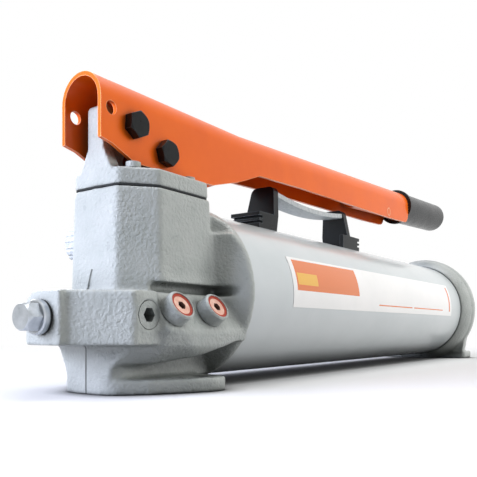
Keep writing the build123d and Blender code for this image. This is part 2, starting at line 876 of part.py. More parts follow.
# ---------------------------------------------------------------- plunger
with BuildPart() as plunger:
    with BuildSketch(Plane.XY.offset(plunger_tip_z)):
        Circle(high_plunger_r)
    extrude(amount=piston_bottom_z - plunger_tip_z)
    chamfer(plunger.faces().sort_by(Axis.Z)[0].edges(), 1.0)
    with BuildSketch(Plane.XY.offset(piston_bottom_z)):
        Circle(piston_r - running_gap * 2)
    extrude(amount=piston_length)
    # groove for the piston seal
    with BuildSketch(Plane.XY.offset(piston_bottom_z + piston_length * 0.3)):
        Circle(piston_r + 1)
        Circle(piston_r - 2.5, mode=Mode.SUBTRACT)
    extrude(amount=piston_length * 0.4, mode=Mode.SUBTRACT)
    with BuildSketch(Plane.XY.offset(piston_top_z)):
        Circle(rod_r)
    extrude(amount=pin_z - piston_top_z)
    # flat sided eye with a slot along the handle
    with BuildSketch(Plane.XZ):
        with Locations((slot_centre_x, pin_z)):
            SlotCenterToCenter(2 * slot_half_travel, 2 * plunger_eye_radius)
    extrude(amount=plunger_eye_half_width, both=True)
    with BuildSketch(Plane.XZ):
        with Locations((slot_centre_x, pin_z)):
            SlotCenterToCenter(2 * slot_half_travel, 2 * (pin_r + pin_slot_gap))
    extrude(amount=2 * rod_r, both=True, mode=Mode.SUBTRACT)
    # the rod is milled flat beside the eye
    with BuildSketch(Plane.XY.offset(pin_z - plunger_eye_radius)):
        with Locations((0, plunger_eye_half_width + rod_r), (0, -plunger_eye_half_width - rod_r)):
            Rectangle(4 * rod_r, 2 * rod_r)
    extrude(amount=3 * plunger_eye_radius, mode=Mode.SUBTRACT)
plunger.part.label = "plunger"
export_step(plunger.part, "parts/plunger.step")

with BuildPart() as piston_seal:
    with BuildSketch(Plane.XY.offset(piston_bottom_z + piston_length * 0.3)):
        Circle(piston_r)
        Circle(piston_r - 2.5, mode=Mode.SUBTRACT)
    extrude(amount=piston_length * 0.4)
piston_seal.part.label = "piston_seal"
export_step(piston_seal.part, "parts/piston_seal.step")

# ---------------------------------------------------------------- reservoir
with BuildPart() as reservoir_tube:
    with BuildSketch(Plane.YZ.offset(tube_front_x)):
        with Locations((0, tube_axis_z)):
            Circle(tube_r)
            Circle(tube_inner_r, mode=Mode.SUBTRACT)
    extrude(amount=tube_length)
    with BuildSketch(Plane.XY.offset(tube_axis_z)):
        with Locations(*[(screw_x, 0) for screw_x in carry_screw_xs]):
            Circle(carry_screw_r)
    extrude(amount=tube_r + 5, mode=Mode.SUBTRACT)
reservoir_tube.part.label = "reservoir_tube"
export_step(reservoir_tube.part, "parts/reservoir_tube.step")

for seal_name, seal_x in (("front_tube_seal", front_seal_x), ("rear_tube_seal", rear_seal_x)):
    with BuildPart() as tube_seal:
        with BuildSketch(Plane.XZ):
            with Locations((seal_x, tube_axis_z + seal_mid_r)):
                Circle(seal_section_r)
        revolve(axis=Axis((0, 0, tube_axis_z), (1, 0, 0)))
    tube_seal.part.label = seal_name
    export_step(tube_seal.part, f"parts/{seal_name}.step")

with BuildPart() as rear_end_cap:
    with BuildSketch(Plane.XZ) as cap_section:
        with BuildLine():
            inside = Polyline(
                (cap_back_x - cap_disc, tube_axis_z),
                (cap_back_x - cap_disc, tube_axis_z + spigot_r - spigot_wall),
                (tube_rear_x - spigot_length, tube_axis_z + spigot_r - spigot_wall),
                (tube_rear_x - spigot_length, tube_axis_z + spigot_r),
                (tube_rear_x, tube_axis_z + spigot_r),
                (tube_rear_x, tube_top_z),
                (cap_front_x, tube_top_z),
                (cap_front_x, tube_top_z + cap_flare_lip),
            )
            flare = RadiusArc(
                inside @ 1,
                (tube_rear_x + 1, tube_axis_z + cap_ring_radius - 1.5),
                1.6 * cap_flare_length,
            )
            Polyline(
                flare @ 1,
                (tube_rear_x + 2.5, tube_axis_z + cap_ring_radius),
                (tube_rear_x + cap_ring_width, tube_axis_z + cap_ring_radius),
                (cap_back_x, tube_axis_z + cap_ring_radius - 4),
                (cap_back_x, tube_axis_z),
                inside @ 0,
            )
        make_face()
    revolve(axis=Axis((0, 0, tube_axis_z), (1, 0, 0)))
    # foot, with a toe behind the ring
    with BuildSketch(Plane.XY) as rear_foot_plan:
        with Locations((tube_rear_x + 3 + rear_foot_length / 2 + 5, 0)):
            Rectangle(rear_foot_length + 10, 2 * rear_foot_half_width)
        fillet(rear_foot_plan.vertices(), 4)
    extrude(amount=foot_thickness)
    with BuildSketch(Plane.YZ.offset(tube_rear_x + 2)):
        with BuildLine():
            Polyline(
                (rear_foot_half_width - 2, foot_thickness - 1),
                (cap_ring_radius * 0.86, tube_axis_z * 0.55),
                (-cap_ring_radius * 0.86, tube_axis_z * 0.55),
                (-rear_foot_half_width + 2, foot_thickness - 1),
                close=True,
            )
        make_face()
    extrude(amount=cap_back_x - tube_rear_x - 3)
    with BuildSketch():
        Rectangle(8 * tube_length, 4 * tube_od)
    extrude(amount=-20, mode=Mode.SUBTRACT)
    # seal groove
    with BuildSketch(Plane.YZ.offset(rear_seal_x - seal_groove_width / 2)):
        with Locations((0, tube_axis_z)):
            Circle(spigot_r + 0.1)
            Circle(seal_groove_r, mode=Mode.SUBTRACT)
    extrude(amount=seal_groove_width, mode=Mode.SUBTRACT)
    # tie rod and filler holes
    with BuildSketch(Plane.YZ.offset(cap_back_x + 1)):
        with Locations((0, tube_axis_z)):
            Circle(tie_rod_r + loose_gap)
        with Locations((0, filler_z)):
            Circle(filler_shank_r + running_gap)
    extrude(amount=-cap_disc - 3, mode=Mode.SUBTRACT)
    # bolt holes in the toe
    with BuildSketch():
        with Locations((cap_back_x + 9, rear_foot_hole_y), (cap_back_x + 9, -rear_foot_hole_y)):
            Circle(foot_hole_r)
    extrude(amount=foot_thickness + 1, mode=Mode.SUBTRACT)
rear_end_cap.part.label = "rear_end_cap"
export_step(rear_end_cap.part, "parts/rear_end_cap.step")

with BuildPart() as tie_rod:
    with BuildSketch(Plane.YZ.offset(spigot_end_x - tie_rod_engagement)):
        with Locations((0, tube_axis_z)):
            Circle(tie_rod_r)
    extrude(
        amount=tie_nut_x + tie_nut_height + tie_rod_beyond - spigot_end_x + tie_rod_engagement
    )
    chamfer(tie_rod.faces().sort_by(Axis.X)[-1].edges(), 1.2)
tie_rod.part.label = "tie_rod"
export_step(tie_rod.part, "parts/tie_rod.step")

with BuildPart() as tie_rod_washer:
    with BuildSketch(Plane.YZ.offset(cap_back_x)):
        with Locations((0, tube_axis_z)):
            Circle(tie_washer_r)
            Circle(tie_rod_r, mode=Mode.SUBTRACT)
    extrude(amount=tie_washer_thickness)
tie_rod_washer.part.label = "tie_rod_washer"
export_step(tie_rod_washer.part, "parts/tie_rod_washer.step")

with BuildPart() as tie_rod_nut:
    with BuildSketch(Plane.YZ.offset(tie_nut_x)):
        with Locations((0, tube_axis_z)):
            RegularPolygon(tie_nut_af / 2, 6, major_radius=False)
            Circle(tie_rod_r, mode=Mode.SUBTRACT)
    extrude(amount=tie_nut_height)
tie_rod_nut.part.label = "tie_rod_nut"
export_step(tie_rod_nut.part, "parts/tie_rod_nut.step")

with BuildPart() as filler_cap:
    with BuildSketch(Plane.YZ.offset(cap_back_x + filler_seal_thickness)):
        with Locations((0, filler_z)):
            Circle(filler_head_r)
            with PolarLocations(filler_head_r + 0.6, 16):
                Circle(1.5, mode=Mode.SUBTRACT)
    extrude(amount=filler_head_height)
    with BuildSketch(Plane.YZ.offset(cap_back_x + filler_seal_thickness)):
        with Locations((0, filler_z)):
            Circle(filler_shank_r)
    extrude(amount=-filler_seal_thickness - cap_disc + 1)
filler_cap.part.label = "filler_cap"
export_step(filler_cap.part, "parts/filler_cap.step")

with BuildPart() as filler_seal:
    with BuildSketch(Plane.YZ.offset(cap_back_x)):
        with Locations((0, filler_z)):
            Circle(filler_head_r - 1.5)
            Circle(filler_shank_r, mode=Mode.SUBTRACT)
    extrude(amount=filler_seal_thickness)
filler_seal.part.label = "filler_seal"
export_step(filler_seal.part, "parts/filler_seal.step")

# ---------------------------------------------------------------- checks, ports and valves
ball_to_seat = sqrt(check_ball_r**2 - check_seat_r**2) + running_gap
outlet_ball_x = outlet_seat_x - ball_to_seat
inlet_ball_x = inlet_seat_x - ball_to_seat
spring_wire_r = 0.45


def coil(radius, length, turns):
    """A round wire coil, closed by flat ground ends, standing on its own plane."""
    with BuildPart() as made:
        with BuildLine() as wire:
            Helix(pitch=(length - 2 * spring_wire_r) / turns, height=length - 2 * spring_wire_r,
                  radius=radius, center=(0, 0, spring_wire_r))
        with BuildSketch(Plane(wire.line @ 0, z_dir=wire.line % 0)):
            Circle(spring_wire_r)
        sweep(path=wire.line, is_frenet=True)
    return made.part


with BuildPart() as outlet_check_ball:
    with Locations((outlet_ball_x, 0, port_z)):
        Sphere(check_ball_r)
outlet_check_ball.part.label = "outlet_check_ball"
export_step(outlet_check_ball.part, "parts/outlet_check_ball.step")

outlet_spring_room = outlet_ball_x - check_ball_r - outlet_retainer_x - 2 * running_gap
with BuildPart() as outlet_check_spring:
    add(
        coil(check_ball_r - 1.2, outlet_spring_room, 5).moved(
            Location((outlet_retainer_x + running_gap, 0, port_z), (0, 90, 0))
        )
    )
outlet_check_spring.part.label = "outlet_check_spring"
export_step(outlet_check_spring.part, "parts/outlet_check_spring.step")

with BuildPart() as outlet_check_retainer:
    with BuildSketch(Plane.YZ.offset(outlet_retainer_x - retainer_length)):
        with Locations((0, port_z)):
            Circle(check_chamber_r)
            Circle(check_seat_r - 0.5, mode=Mode.SUBTRACT)
    extrude(amount=retainer_length)
outlet_check_retainer.part.label = "outlet_check_retainer"
export_step(outlet_check_retainer.part, "parts/outlet_check_retainer.step")

with BuildPart() as inlet_check_ball:
    with Locations((inlet_ball_x, 0, port_z)):
        Sphere(check_ball_r)
inlet_check_ball.part.label = "inlet_check_ball"
export_step(inlet_check_ball.part, "parts/inlet_check_ball.step")

inlet_spring_room = inlet_ball_x - check_ball_r - inlet_chamber_x - 2 * running_gap
with BuildPart() as inlet_check_spring:
    add(
        coil(check_ball_r - 1.2, inlet_spring_room, 4).moved(
            Location((inlet_chamber_x + running_gap, 0, port_z), (0, 90, 0))
        )
    )
inlet_check_spring.part.label = "inlet_check_spring"
export_step(inlet_check_spring.part, "parts/inlet_check_spring.step")

with BuildPart() as inlet_valve_seat:
    with BuildSketch(Plane.YZ.offset(inlet_seat_x)):
        with Locations((0, port_z)):
            Circle(check_chamber_r)
            Circle(check_seat_r, mode=Mode.SUBTRACT)
    extrude(amount=spigot_end_x - inlet_seat_x)
    with BuildSketch(Plane.YZ.offset(spigot_end_x)):
        with Locations((0, port_z)):
            Circle(check_ball_r)
    extrude(amount=-retainer_length, mode=Mode.SUBTRACT)
inlet_valve_seat.part.label = "inlet_valve_seat"
export_step(inlet_valve_seat.part, "parts/inlet_valve_seat.step")

suction_run = 24.0
suction_bend_r = 14.0
suction_reach = 46.0
suction_low_z = tube_axis_z - tube_inner_r + 12.0
suction_start_x = spigot_end_x - retainer_length
with BuildPart() as suction_tube:
    with BuildLine() as suction_path:
        FilletPolyline(
            (suction_start_x, 0, port_z),
            (spigot_end_x + suction_run, 0, port_z),
            (spigot_end_x + suction_run + suction_reach, 0, suction_low_z),
            radius=suction_bend_r,
        )
    with BuildSketch(Plane(suction_path.line @ 0, z_dir=suction_path.line % 0)):
        Circle(check_ball_r)
        Circle(check_ball_r - 1, mode=Mode.SUBTRACT)
    sweep(path=suction_path.line)
suction_tube.part.label = "suction_tube"
export_step(suction_tube.part, "parts/suction_tube.step")

strainer_plane = Plane(suction_path.line @ 1, z_dir=suction_path.line % 1)
with BuildPart() as suction_strainer:
    with BuildSketch(strainer_plane):
        Circle(check_ball_r * 2)
    extrude(amount=check_ball_r * 2.5)
    with BuildSketch(strainer_plane):
        Circle(check_ball_r * 2)
        Circle(check_ball_r, mode=Mode.SUBTRACT)
    extrude(amount=-check_ball_r)
suction_strainer.part.label = "suction_strainer"
export_step(suction_strainer.part, "parts/suction_strainer.step")

with BuildPart() as outlet_plug_washer:
    with BuildSketch(Plane.YZ.offset(block_end_x)):
        with Locations((0, port_z)):
            Circle(plug_washer_r)
            Circle(port_thread_r, mode=Mode.SUBTRACT)
    extrude(amount=-plug_washer_thickness)
outlet_plug_washer.part.label = "outlet_plug_washer"
export_step(outlet_plug_washer.part, "parts/outlet_plug_washer.step")

plug_seat_x = block_end_x - plug_washer_thickness
plug_end_x = plug_seat_x - plug_flange_length - plug_hex_length
with BuildPart() as outlet_plug:
    with BuildSketch(Plane.YZ.offset(plug_seat_x)):
        with Locations((0, port_z)):
            RegularPolygon(plug_hex_af / 2, 6, major_radius=False)
    extrude(amount=plug_end_x - plug_seat_x)
    # a cone trims the hexagon's corners at its outer end
    with BuildSketch(Plane.YZ.offset(plug_end_x)):
        with Locations((0, port_z)):
            Circle(plug_hex_af / 2 * plug_face_share)
    extrude(amount=plug_seat_x - plug_end_x, taper=-head_cone_angle / 2, mode=Mode.INTERSECT)
    with BuildSketch(Plane.YZ.offset(plug_seat_x)):
        with Locations((0, port_z)):
            Circle(plug_flange_r)
    extrude(amount=-plug_flange_length)
    chamfer(outlet_plug.edges().filter_by(GeomType.CIRCLE).group_by(Axis.X)[1], 0.6)
    with BuildSketch(Plane.YZ.offset(plug_seat_x)):
        with Locations((0, port_z)):
            Circle(port_thread_r)
    extrude(amount=plug_washer_thickness + port_thread_depth - 2)
outlet_plug.part.label = "outlet_plug"
export_step(outlet_plug.part, "parts/outlet_plug.step")

with BuildPart() as gauge_port_plug:
    with BuildSketch(near_plane(block_half_width + gauge_collar_height * 0.4)):
        with Locations((gauge_port_x, gauge_port_z)):
            Circle(gauge_plug_r)
    extrude(amount=-port_thread_depth + 2)
    with BuildSketch(near_plane(block_half_width + gauge_collar_height * 0.4)):
        with Locations((gauge_port_x, gauge_port_z)):
            RegularPolygon(3.4, 6, major_radius=False)
    extrude(amount=-port_thread_depth / 2, mode=Mode.SUBTRACT)
gauge_port_plug.part.label = "gauge_port_plug"
export_step(gauge_port_plug.part, "parts/gauge_port_plug.step")

valve_ball_lift = sqrt(valve_ball_r**2 - valve_seat_r**2) + running_gap - valve_chamber_depth
valve_spring_room = -adjuster_depth - valve_ball_lift - valve_ball_r - 2 * running_gap
for valve_name, valve_x in valve_xs.items():
    face = valve_plane(valve_x)
    top = valve_plane(valve_x, valve_cap_height)
    recess = valve_plane(valve_x, valve_cap_height - ring_recess)
    with BuildPart() as valve_cap:
        with BuildSketch(face):
            Circle(valve_cap_r)
        extrude(amount=valve_cap_height)
        chamfer(valve_cap.edges().group_by(Axis(face.origin, face.z_dir))[-1], 0.9)
        with BuildSketch(face):
            Circle(valve_shank_r)
        extrude(amount=-valve_shank_length)
        with BuildSketch(top):
            Circle(ring_r)
        extrude(amount=-ring_recess, mode=Mode.SUBTRACT)
        with BuildSketch(top):
            Circle(adjuster_r)
        extrude(amount=-valve_cap_height - valve_shank_length, mode=Mode.SUBTRACT)
    valve_cap.part.label = f"{valve_name}_valve_cap"
    export_step(valve_cap.part, f"parts/{valve_name}_valve_cap.step")

    with BuildPart() as seal_ring:
        with BuildSketch(recess):
            Circle(ring_r)
            Circle(adjuster_r, mode=Mode.SUBTRACT)
        extrude(amount=ring_recess * 0.55)
    seal_ring.part.label = f"{valve_name}_seal_ring"
    export_step(seal_ring.part, f"parts/{valve_name}_seal_ring.step")

    with BuildPart() as adjuster:
        with BuildSketch(recess):
            Circle(adjuster_r)
        extrude(amount=ring_recess * 0.4)
        with BuildSketch(recess):
            Circle(adjuster_r)
        extrude(amount=ring_recess - valve_cap_height - adjuster_depth)
        with BuildSketch(top):
            RegularPolygon(socket_af / 2, 6, major_radius=False)
        extrude(amount=-valve_cap_height, mode=Mode.SUBTRACT)
    adjuster.part.label = f"{valve_name}_adjuster"
    export_step(adjuster.part, f"parts/{valve_name}_adjuster.step")

    with BuildPart() as valve_spring:
        spring_seat = valve_plane(valve_x, valve_ball_lift + valve_ball_r + running_gap)
        add(coil(valve_ball_r - 0.6, valve_spring_room, 6).moved(spring_seat.location))
    valve_spring.part.label = f"{valve_name}_spring"
    export_step(valve_spring.part, f"parts/{valve_name}_spring.step")

    with BuildPart() as valve_ball:
        with Locations(valve_plane(valve_x, valve_ball_lift)):
            Sphere(valve_ball_r)
    valve_ball.part.label = f"{valve_name}_ball"
    export_step(valve_ball.part, f"parts/{valve_name}_ball.step")

# ---------------------------------------------------------------- release valve
gland_hex_af = 18.0
gland_hex_height = 5.0
stem_tip_y = release_seat_y + 2 * valve_ball_r
knob_start_y = release_face_y + gland_hex_height + loose_gap

with BuildPart() as release_gland:
    with BuildSketch(far_plane(release_face_y)):
        with Locations((-release_x, release_z)):
            RegularPolygon(gland_hex_af / 2, 6, major_radius=False)
    extrude(amount=gland_hex_height)
    with BuildSketch(far_plane(release_face_y)):
        with Locations((-release_x, release_z)):
            Circle(release_gland_r)
    extrude(amount=-release_gland_depth)
    with BuildSketch(far_plane(release_face_y + gland_hex_height)):
        with Locations((-release_x, release_z)):
            Circle(release_stem_r + running_gap)
    extrude(amount=-release_gland_depth - gland_hex_height, mode=Mode.SUBTRACT)
release_gland.part.label = "release_gland"
export_step(release_gland.part, "parts/release_gland.step")

with BuildPart() as release_stem:
    with BuildSketch(far_plane(knob_start_y + knob_length * 0.6)):
        with Locations((-release_x, release_z)):
            Circle(release_stem_r)
    extrude(amount=stem_tip_y + valve_ball_r * 0.5 - knob_start_y - knob_length * 0.6)
    chamfer(release_stem.faces().sort_by(Axis.Y)[0].edges(), 1.0)
release_stem.part.label = "release_stem"
export_step(release_stem.part, "parts/release_stem.step")

with BuildPart() as release_ball:
    with Locations((release_x, release_seat_y + valve_ball_r * 0.85, release_z)):
        Sphere(valve_ball_r)
release_ball.part.label = "release_ball"
export_step(release_ball.part, "parts/release_ball.step")

with BuildPart() as release_knob:
    with BuildSketch(far_plane(knob_start_y)):
        with Locations((-release_x, release_z)):
            Circle(knob_r)
            with PolarLocations(knob_r + 0.4, knob_flutes):
                Circle(1.1, mode=Mode.SUBTRACT)
    extrude(amount=knob_length)
    with BuildSketch(far_plane(knob_start_y)):
        with Locations((-release_x, release_z)):
            Circle(release_stem_r)
    extrude(amount=knob_length * 0.6, mode=Mode.SUBTRACT)
release_knob.part.label = "release_knob"
export_step(release_knob.part, "parts/release_knob.step")

# ---------------------------------------------------------------- handle
beam_low_z = cover_top_z + beam_cheek_gap


def arch_section(half_width):
    """The beam's cross-section, an upside-down U filled in, centred on the arch's centre."""
    depth = arch_z - beam_low_z + 60
    with BuildSketch() as made:
        with BuildLine():
            side = Line((half_width, -depth), (half_width, 0))
            roof = ThreePointArc(side @ 1, (0, half_width), (-half_width, 0))
            Polyline(roof @ 1, (-half_width, -depth), side @ 0)
        make_face()
    return made.sketch


# a plane whose local x runs across the handle (+Y) and local y runs up
front_section = Plane(origin=(beam_front_x, 0, arch_z), x_dir=(0, 1, 0), z_dir=(1, 0, 0))
beam_past_end = 40.0
beam_run = beam_rear_x + beam_past_end - beam_bend_x
beam_path_end = (beam_bend_x + beam_run, 0, arch_z + beam_run * tan(radians(beam_rise)))

with BuildPart() as handle_beam:
    # the front and rear runs meet in a mitre at the bend
    with BuildLine() as beam_path:
        Polyline((beam_front_x, 0, arch_z), (beam_bend_x, 0, arch_z), beam_path_end)
    with BuildSketch(front_section):
        add(arch_section(beam_half_width))
    sweep(path=beam_path.line, transition=Transition.RIGHT)
    # side outline: a deep front cheek, a notch, then a shallow rear part with a round end
    with BuildSketch(Plane.XZ) as side_outline:
        with BuildLine():
            Polyline(
                (beam_front_x, beam_top_z + 2),
                (beam_front_x, cheek_front_z),
                (cheek_knee_x, cheek_knee_z),
                (cheek_corner_x, beam_low_z),
                *[(beam_bend_x + x, beam_low_z + z) for x, z in beam_under_edge],
                *[(beam_rear_x + x, beam_low_z + z) for x, z in beam_rear_under_edge],
                (beam_rear_x, beam_top_z + 2 + (beam_rear_x - beam_bend_x) * rise_sin),
                close=True,
            )
        make_face()
        fillet(side_outline.vertices().group_by(Axis.X)[-1], beam_end_radius)
        cheek = side_outline.vertices().filter_by_position(Axis.Y, beam_low_z - 1, beam_low_z + 2)
        fillet(cheek, beam_end_radius)
    extrude(amount=2 * beam_half_width, both=True, mode=Mode.INTERSECT)
    with BuildSketch(front_section):
        add(arch_section(beam_inner))
    sweep(path=beam_path.line, transition=Transition.RIGHT, mode=Mode.SUBTRACT)
    # pin holes and the lock pin's hole, through both cheeks
    with BuildSketch(Plane.XZ):
        with Locations((fulcrum_x, fulcrum_z), (pin_x, pin_z)):
            Circle(pin_r)
        with Locations((lock_hole_x, lock_hole_z)):
            Circle(lock_hole_r)
    extrude(amount=2 * beam_half_width, both=True, mode=Mode.SUBTRACT)
handle_beam.part.label = "handle_beam"
export_step(handle_beam.part, "parts/handle_beam.step")

tube_start = rear_plane(handle_tube_front_x)
grip_start_x = beam_rear_x + 0.5
grip_plane = rear_plane(grip_start_x)
handle_tube_reach = grip_length - grip_end_thickness
handle_tube_length = (grip_start_x - handle_tube_front_x) / rise_cos + handle_tube_reach
with BuildPart() as handle_tube:
    with BuildSketch(tube_start):
        Circle(beam_inner)
        Circle(beam_inner - handle_tube_wall, mode=Mode.SUBTRACT)
    extrude(amount=handle_tube_length)
handle_tube.part.label = "handle_tube"
export_step(handle_tube.part, "parts/handle_tube.step")

grip_side = Plane(origin=grip_plane.origin, x_dir=grip_plane.z_dir, z_dir=(0, -1, 0))
with BuildPart() as handle_grip:
    with BuildSketch(grip_side) as grip_section:
        with BuildLine():
            mouth = Polyline(
                (0, beam_inner),
                (0, grip_rim_radius),
                (grip_rim_length, grip_rim_radius),
                (grip_rim_length + 2, beam_inner + grip_wall),
                (grip_length - 9, beam_inner + grip_wall),
            )
            nose = RadiusArc(mouth @ 1, (grip_length, beam_inner - 4), 12)
            Polyline(
                nose @ 1,
                (grip_length, 0),
                (grip_length - grip_end_thickness, 0),
                (grip_length - grip_end_thickness, beam_inner),
                mouth @ 0,
            )
        make_face()
    revolve(axis=Axis(grip_plane.origin, grip_plane.z_dir))
handle_grip.part.label = "handle_grip"
export_step(handle_grip.part, "parts/handle_grip.step")

pins = {"fulcrum": (fulcrum_x, fulcrum_z), "plunger_pin": (pin_x, pin_z)}
pin_grip = 2 * beam_half_width
for pin_name, (bolt_x, bolt_z) in pins.items():
    with BuildPart() as bolt:
        with BuildSketch(near_plane(beam_half_width)):
            with Locations((bolt_x, bolt_z)):
                RegularPolygon(pin_head_af / 2, 6, major_radius=False, rotation=pin_head_turns[pin_name])
        extrude(amount=pin_head_height)
        # a cone trims the hexagon's corners at its outer face
        with BuildSketch(far_plane(-beam_half_width - pin_head_height)):
            with Locations((-bolt_x, bolt_z)):
                Circle(pin_head_af / 2 * head_face_share)
        extrude(amount=pin_head_height, taper=-head_cone_angle, mode=Mode.INTERSECT)
        with BuildSketch(near_plane(beam_half_width)):
            with Locations((bolt_x, bolt_z)):
                Circle(pin_r)
        extrude(amount=-pin_grip - pin_nut_height - pin_end_beyond)
        chamfer(bolt.faces().sort_by(Axis.Y)[-1].edges(), 0.8)
    bolt.part.label = f"{pin_name}_bolt"
    export_step(bolt.part, f"parts/{pin_name}_bolt.step")

    with BuildPart() as nut:
        with BuildSketch(far_plane(beam_half_width)):
            with Locations((-bolt_x, bolt_z)):
                RegularPolygon(pin_head_af / 2, 6, major_radius=False)
                Circle(pin_r, mode=Mode.SUBTRACT)
        extrude(amount=pin_nut_height)
    nut.part.label = f"{pin_name}_nut"
    export_step(nut.part, f"parts/{pin_name}_nut.step")

    inner_half = {"fulcrum": post_half_width, "plunger_pin": plunger_eye_half_width}[pin_name]
    with BuildPart() as spacers:
        with BuildSketch(near_plane(beam_inner)):
            with Locations((bolt_x, bolt_z)):
                Circle(spacer_radius)
                Circle(pin_r, mode=Mode.SUBTRACT)
        extrude(amount=inner_half + loose_gap - beam_inner)
        mirror(about=Plane.XZ)
    spacers.part.label = f"{pin_name}_spacers"
    export_step(spacers.part, f"parts/{pin_name}_spacers.step")

# ---------------------------------------------------------------- carrying handle and label
leg_top_half_width = carry_half_width - carry_leg_taper
strap_top_z = carry_leg_top_z - strap_drop
for bracket_name, bracket_x, facing in (
    ("carry_bracket_front", carry_front_x, 1),
    ("carry_bracket_rear", carry_rear_x, -1),
):
    leg_x = bracket_x + facing * carry_tongue_length
    with BuildPart() as bracket:
        # leg, leaning over the strap, narrower at its top
        with BuildSketch(Plane.XZ):
            with BuildLine():
                Polyline(
                    (leg_x - facing * carry_lean, carry_root_z),
                    (leg_x, carry_leg_top_z),
                    (leg_x + facing * carry_leg_thickness, carry_leg_top_z),
                    (leg_x + facing * (carry_leg_thickness - carry_lean), carry_root_z),
                    close=True,
                )
            make_face()
        extrude(amount=carry_half_width, both=True)
        with BuildSketch(Plane.YZ.offset(min(bracket_x, leg_x))) as leg_outline:
            with BuildLine():
                Polyline(
                    (carry_half_width, carry_root_z - cast_overlap),
                    (carry_half_width, carry_tongue_z),
                    (leg_top_half_width, carry_leg_top_z),
                    (-leg_top_half_width, carry_leg_top_z),
                    (-carry_half_width, carry_tongue_z),
                    (-carry_half_width, carry_root_z - cast_overlap),
                    close=True,
                )
            make_face()
            fillet(leg_outline.vertices().group_by(Axis.Y)[-1], carry_leg_corner_radius)
        extrude(amount=2 * carry_tongue_length, both=True, mode=Mode.INTERSECT)
        # thick tongue on the tube, its end face ribbed across
        with BuildSketch(Plane.XZ):
            with BuildLine():
                Polyline(
                    (bracket_x, carry_root_z),
                    (bracket_x, carry_tongue_z),
                    (leg_x, carry_tongue_z),
                    (leg_x - facing * carry_tongue_taper, carry_root_z),
                    close=True,
                )
            make_face()
        extrude(amount=carry_half_width, both=True)
        for groove in (1, 2):
            groove_z = carry_tongue_z - 2 * groove * carry_rib_height
            with BuildSketch(Plane.XZ):
                with Locations((bracket_x, groove_z)):
                    Rectangle(2 * carry_rib_depth, carry_rib_height)
            extrude(amount=carry_half_width, both=True, mode=Mode.SUBTRACT)
        if bracket_name == "carry_bracket_rear":
            # clip for a hose, on the port side
            clip_z = tube_top_z + carry_tongue_height / 2 - carry_clip_drop
            with BuildSketch(Plane.XZ.offset(carry_half_width - carry_clip_width)):
                with Locations((leg_x - carry_clip_length / 2, clip_z)):
                    Rectangle(carry_clip_length + carry_clip_root, carry_tongue_height + carry_clip_root)
            extrude(amount=carry_clip_width)
        # saddle on the tube, and the screw's hole
        with Locations(Location((0, 0, tube_axis_z), (0, 90, 0))):
            Cylinder(tube_r, 4 * tube_length, mode=Mode.SUBTRACT)
        with BuildSketch(Plane.XY.offset(tube_axis_z)):
            with Locations((bracket_x + facing * carry_screw_inset, 0)):
                Circle(carry_screw_r)
        extrude(amount=3 * tube_r, mode=Mode.SUBTRACT)
        with BuildSketch(Plane.XY.offset(carry_seat_z)):
            with Locations((bracket_x + facing * carry_screw_inset, 0)):
                Circle(carry_recess_r)
        extrude(amount=tube_r, mode=Mode.SUBTRACT)
        # socket for the strap's end
        with BuildSketch(Plane.YZ.offset(leg_x + facing * carry_socket_wall)):
            with Locations((0, strap_top_z - strap_thickness / 2)):
                Rectangle(2 * strap_half_width, strap_thickness)
        extrude(amount=facing * carry_leg_thickness, mode=Mode.SUBTRACT)
    bracket.part.label = bracket_name
    export_step(bracket.part, f"parts/{bracket_name}.step")

strap_x0 = carry_front_x + carry_tongue_length + carry_socket_wall
strap_x1 = carry_rear_x - carry_tongue_length - carry_socket_wall
socket_depth = carry_leg_thickness - carry_socket_wall
with BuildPart() as carry_strap:
    with BuildSketch(Plane.XZ):
        with BuildLine():
            lower = Polyline(
                (strap_x0, strap_top_z),
                (strap_x0, strap_top_z - strap_thickness),
                (strap_x0 + socket_depth, strap_top_z - strap_thickness),
            )
            belly_curve = ThreePointArc(
                lower @ 1,
                ((strap_x0 + strap_x1) / 2, strap_top_z - strap_thickness - strap_sag),
                (strap_x1 - socket_depth, strap_top_z - strap_thickness),
            )
            upper = Polyline(
                belly_curve @ 1,
                (strap_x1, strap_top_z - strap_thickness),
                (strap_x1, strap_top_z),
                (strap_x1 - socket_depth, strap_top_z),
            )
            ThreePointArc(
                upper @ 1,
                ((strap_x0 + strap_x1) / 2, strap_top_z - strap_sag),
                (strap_x0 + socket_depth, strap_top_z),
            )
            Line((strap_x0 + socket_depth, strap_top_z), (strap_x0, strap_top_z))
        make_face()
    extrude(amount=strap_half_width, both=True)
carry_strap.part.label = "carry_strap"
export_step(carry_strap.part, "parts/carry_strap.step")

with BuildPart() as carry_screws:
    for screw_x in carry_screw_xs:
        with BuildSketch(Plane.XY.offset(carry_seat_z)):
            with Locations((screw_x, 0)):
                Circle(carry_screw_head_r)
        extrude(amount=carry_screw_head_height)
        with BuildSketch(Plane.XY.offset(carry_seat_z)):
            with Locations((screw_x, 0)):
                Circle(carry_screw_r)
        extrude(amount=tube_top_z - tube_wall - 2 - carry_seat_z)
carry_screws.part.label = "carry_screws"
export_step(carry_screws.part, "parts/carry_screws.step")

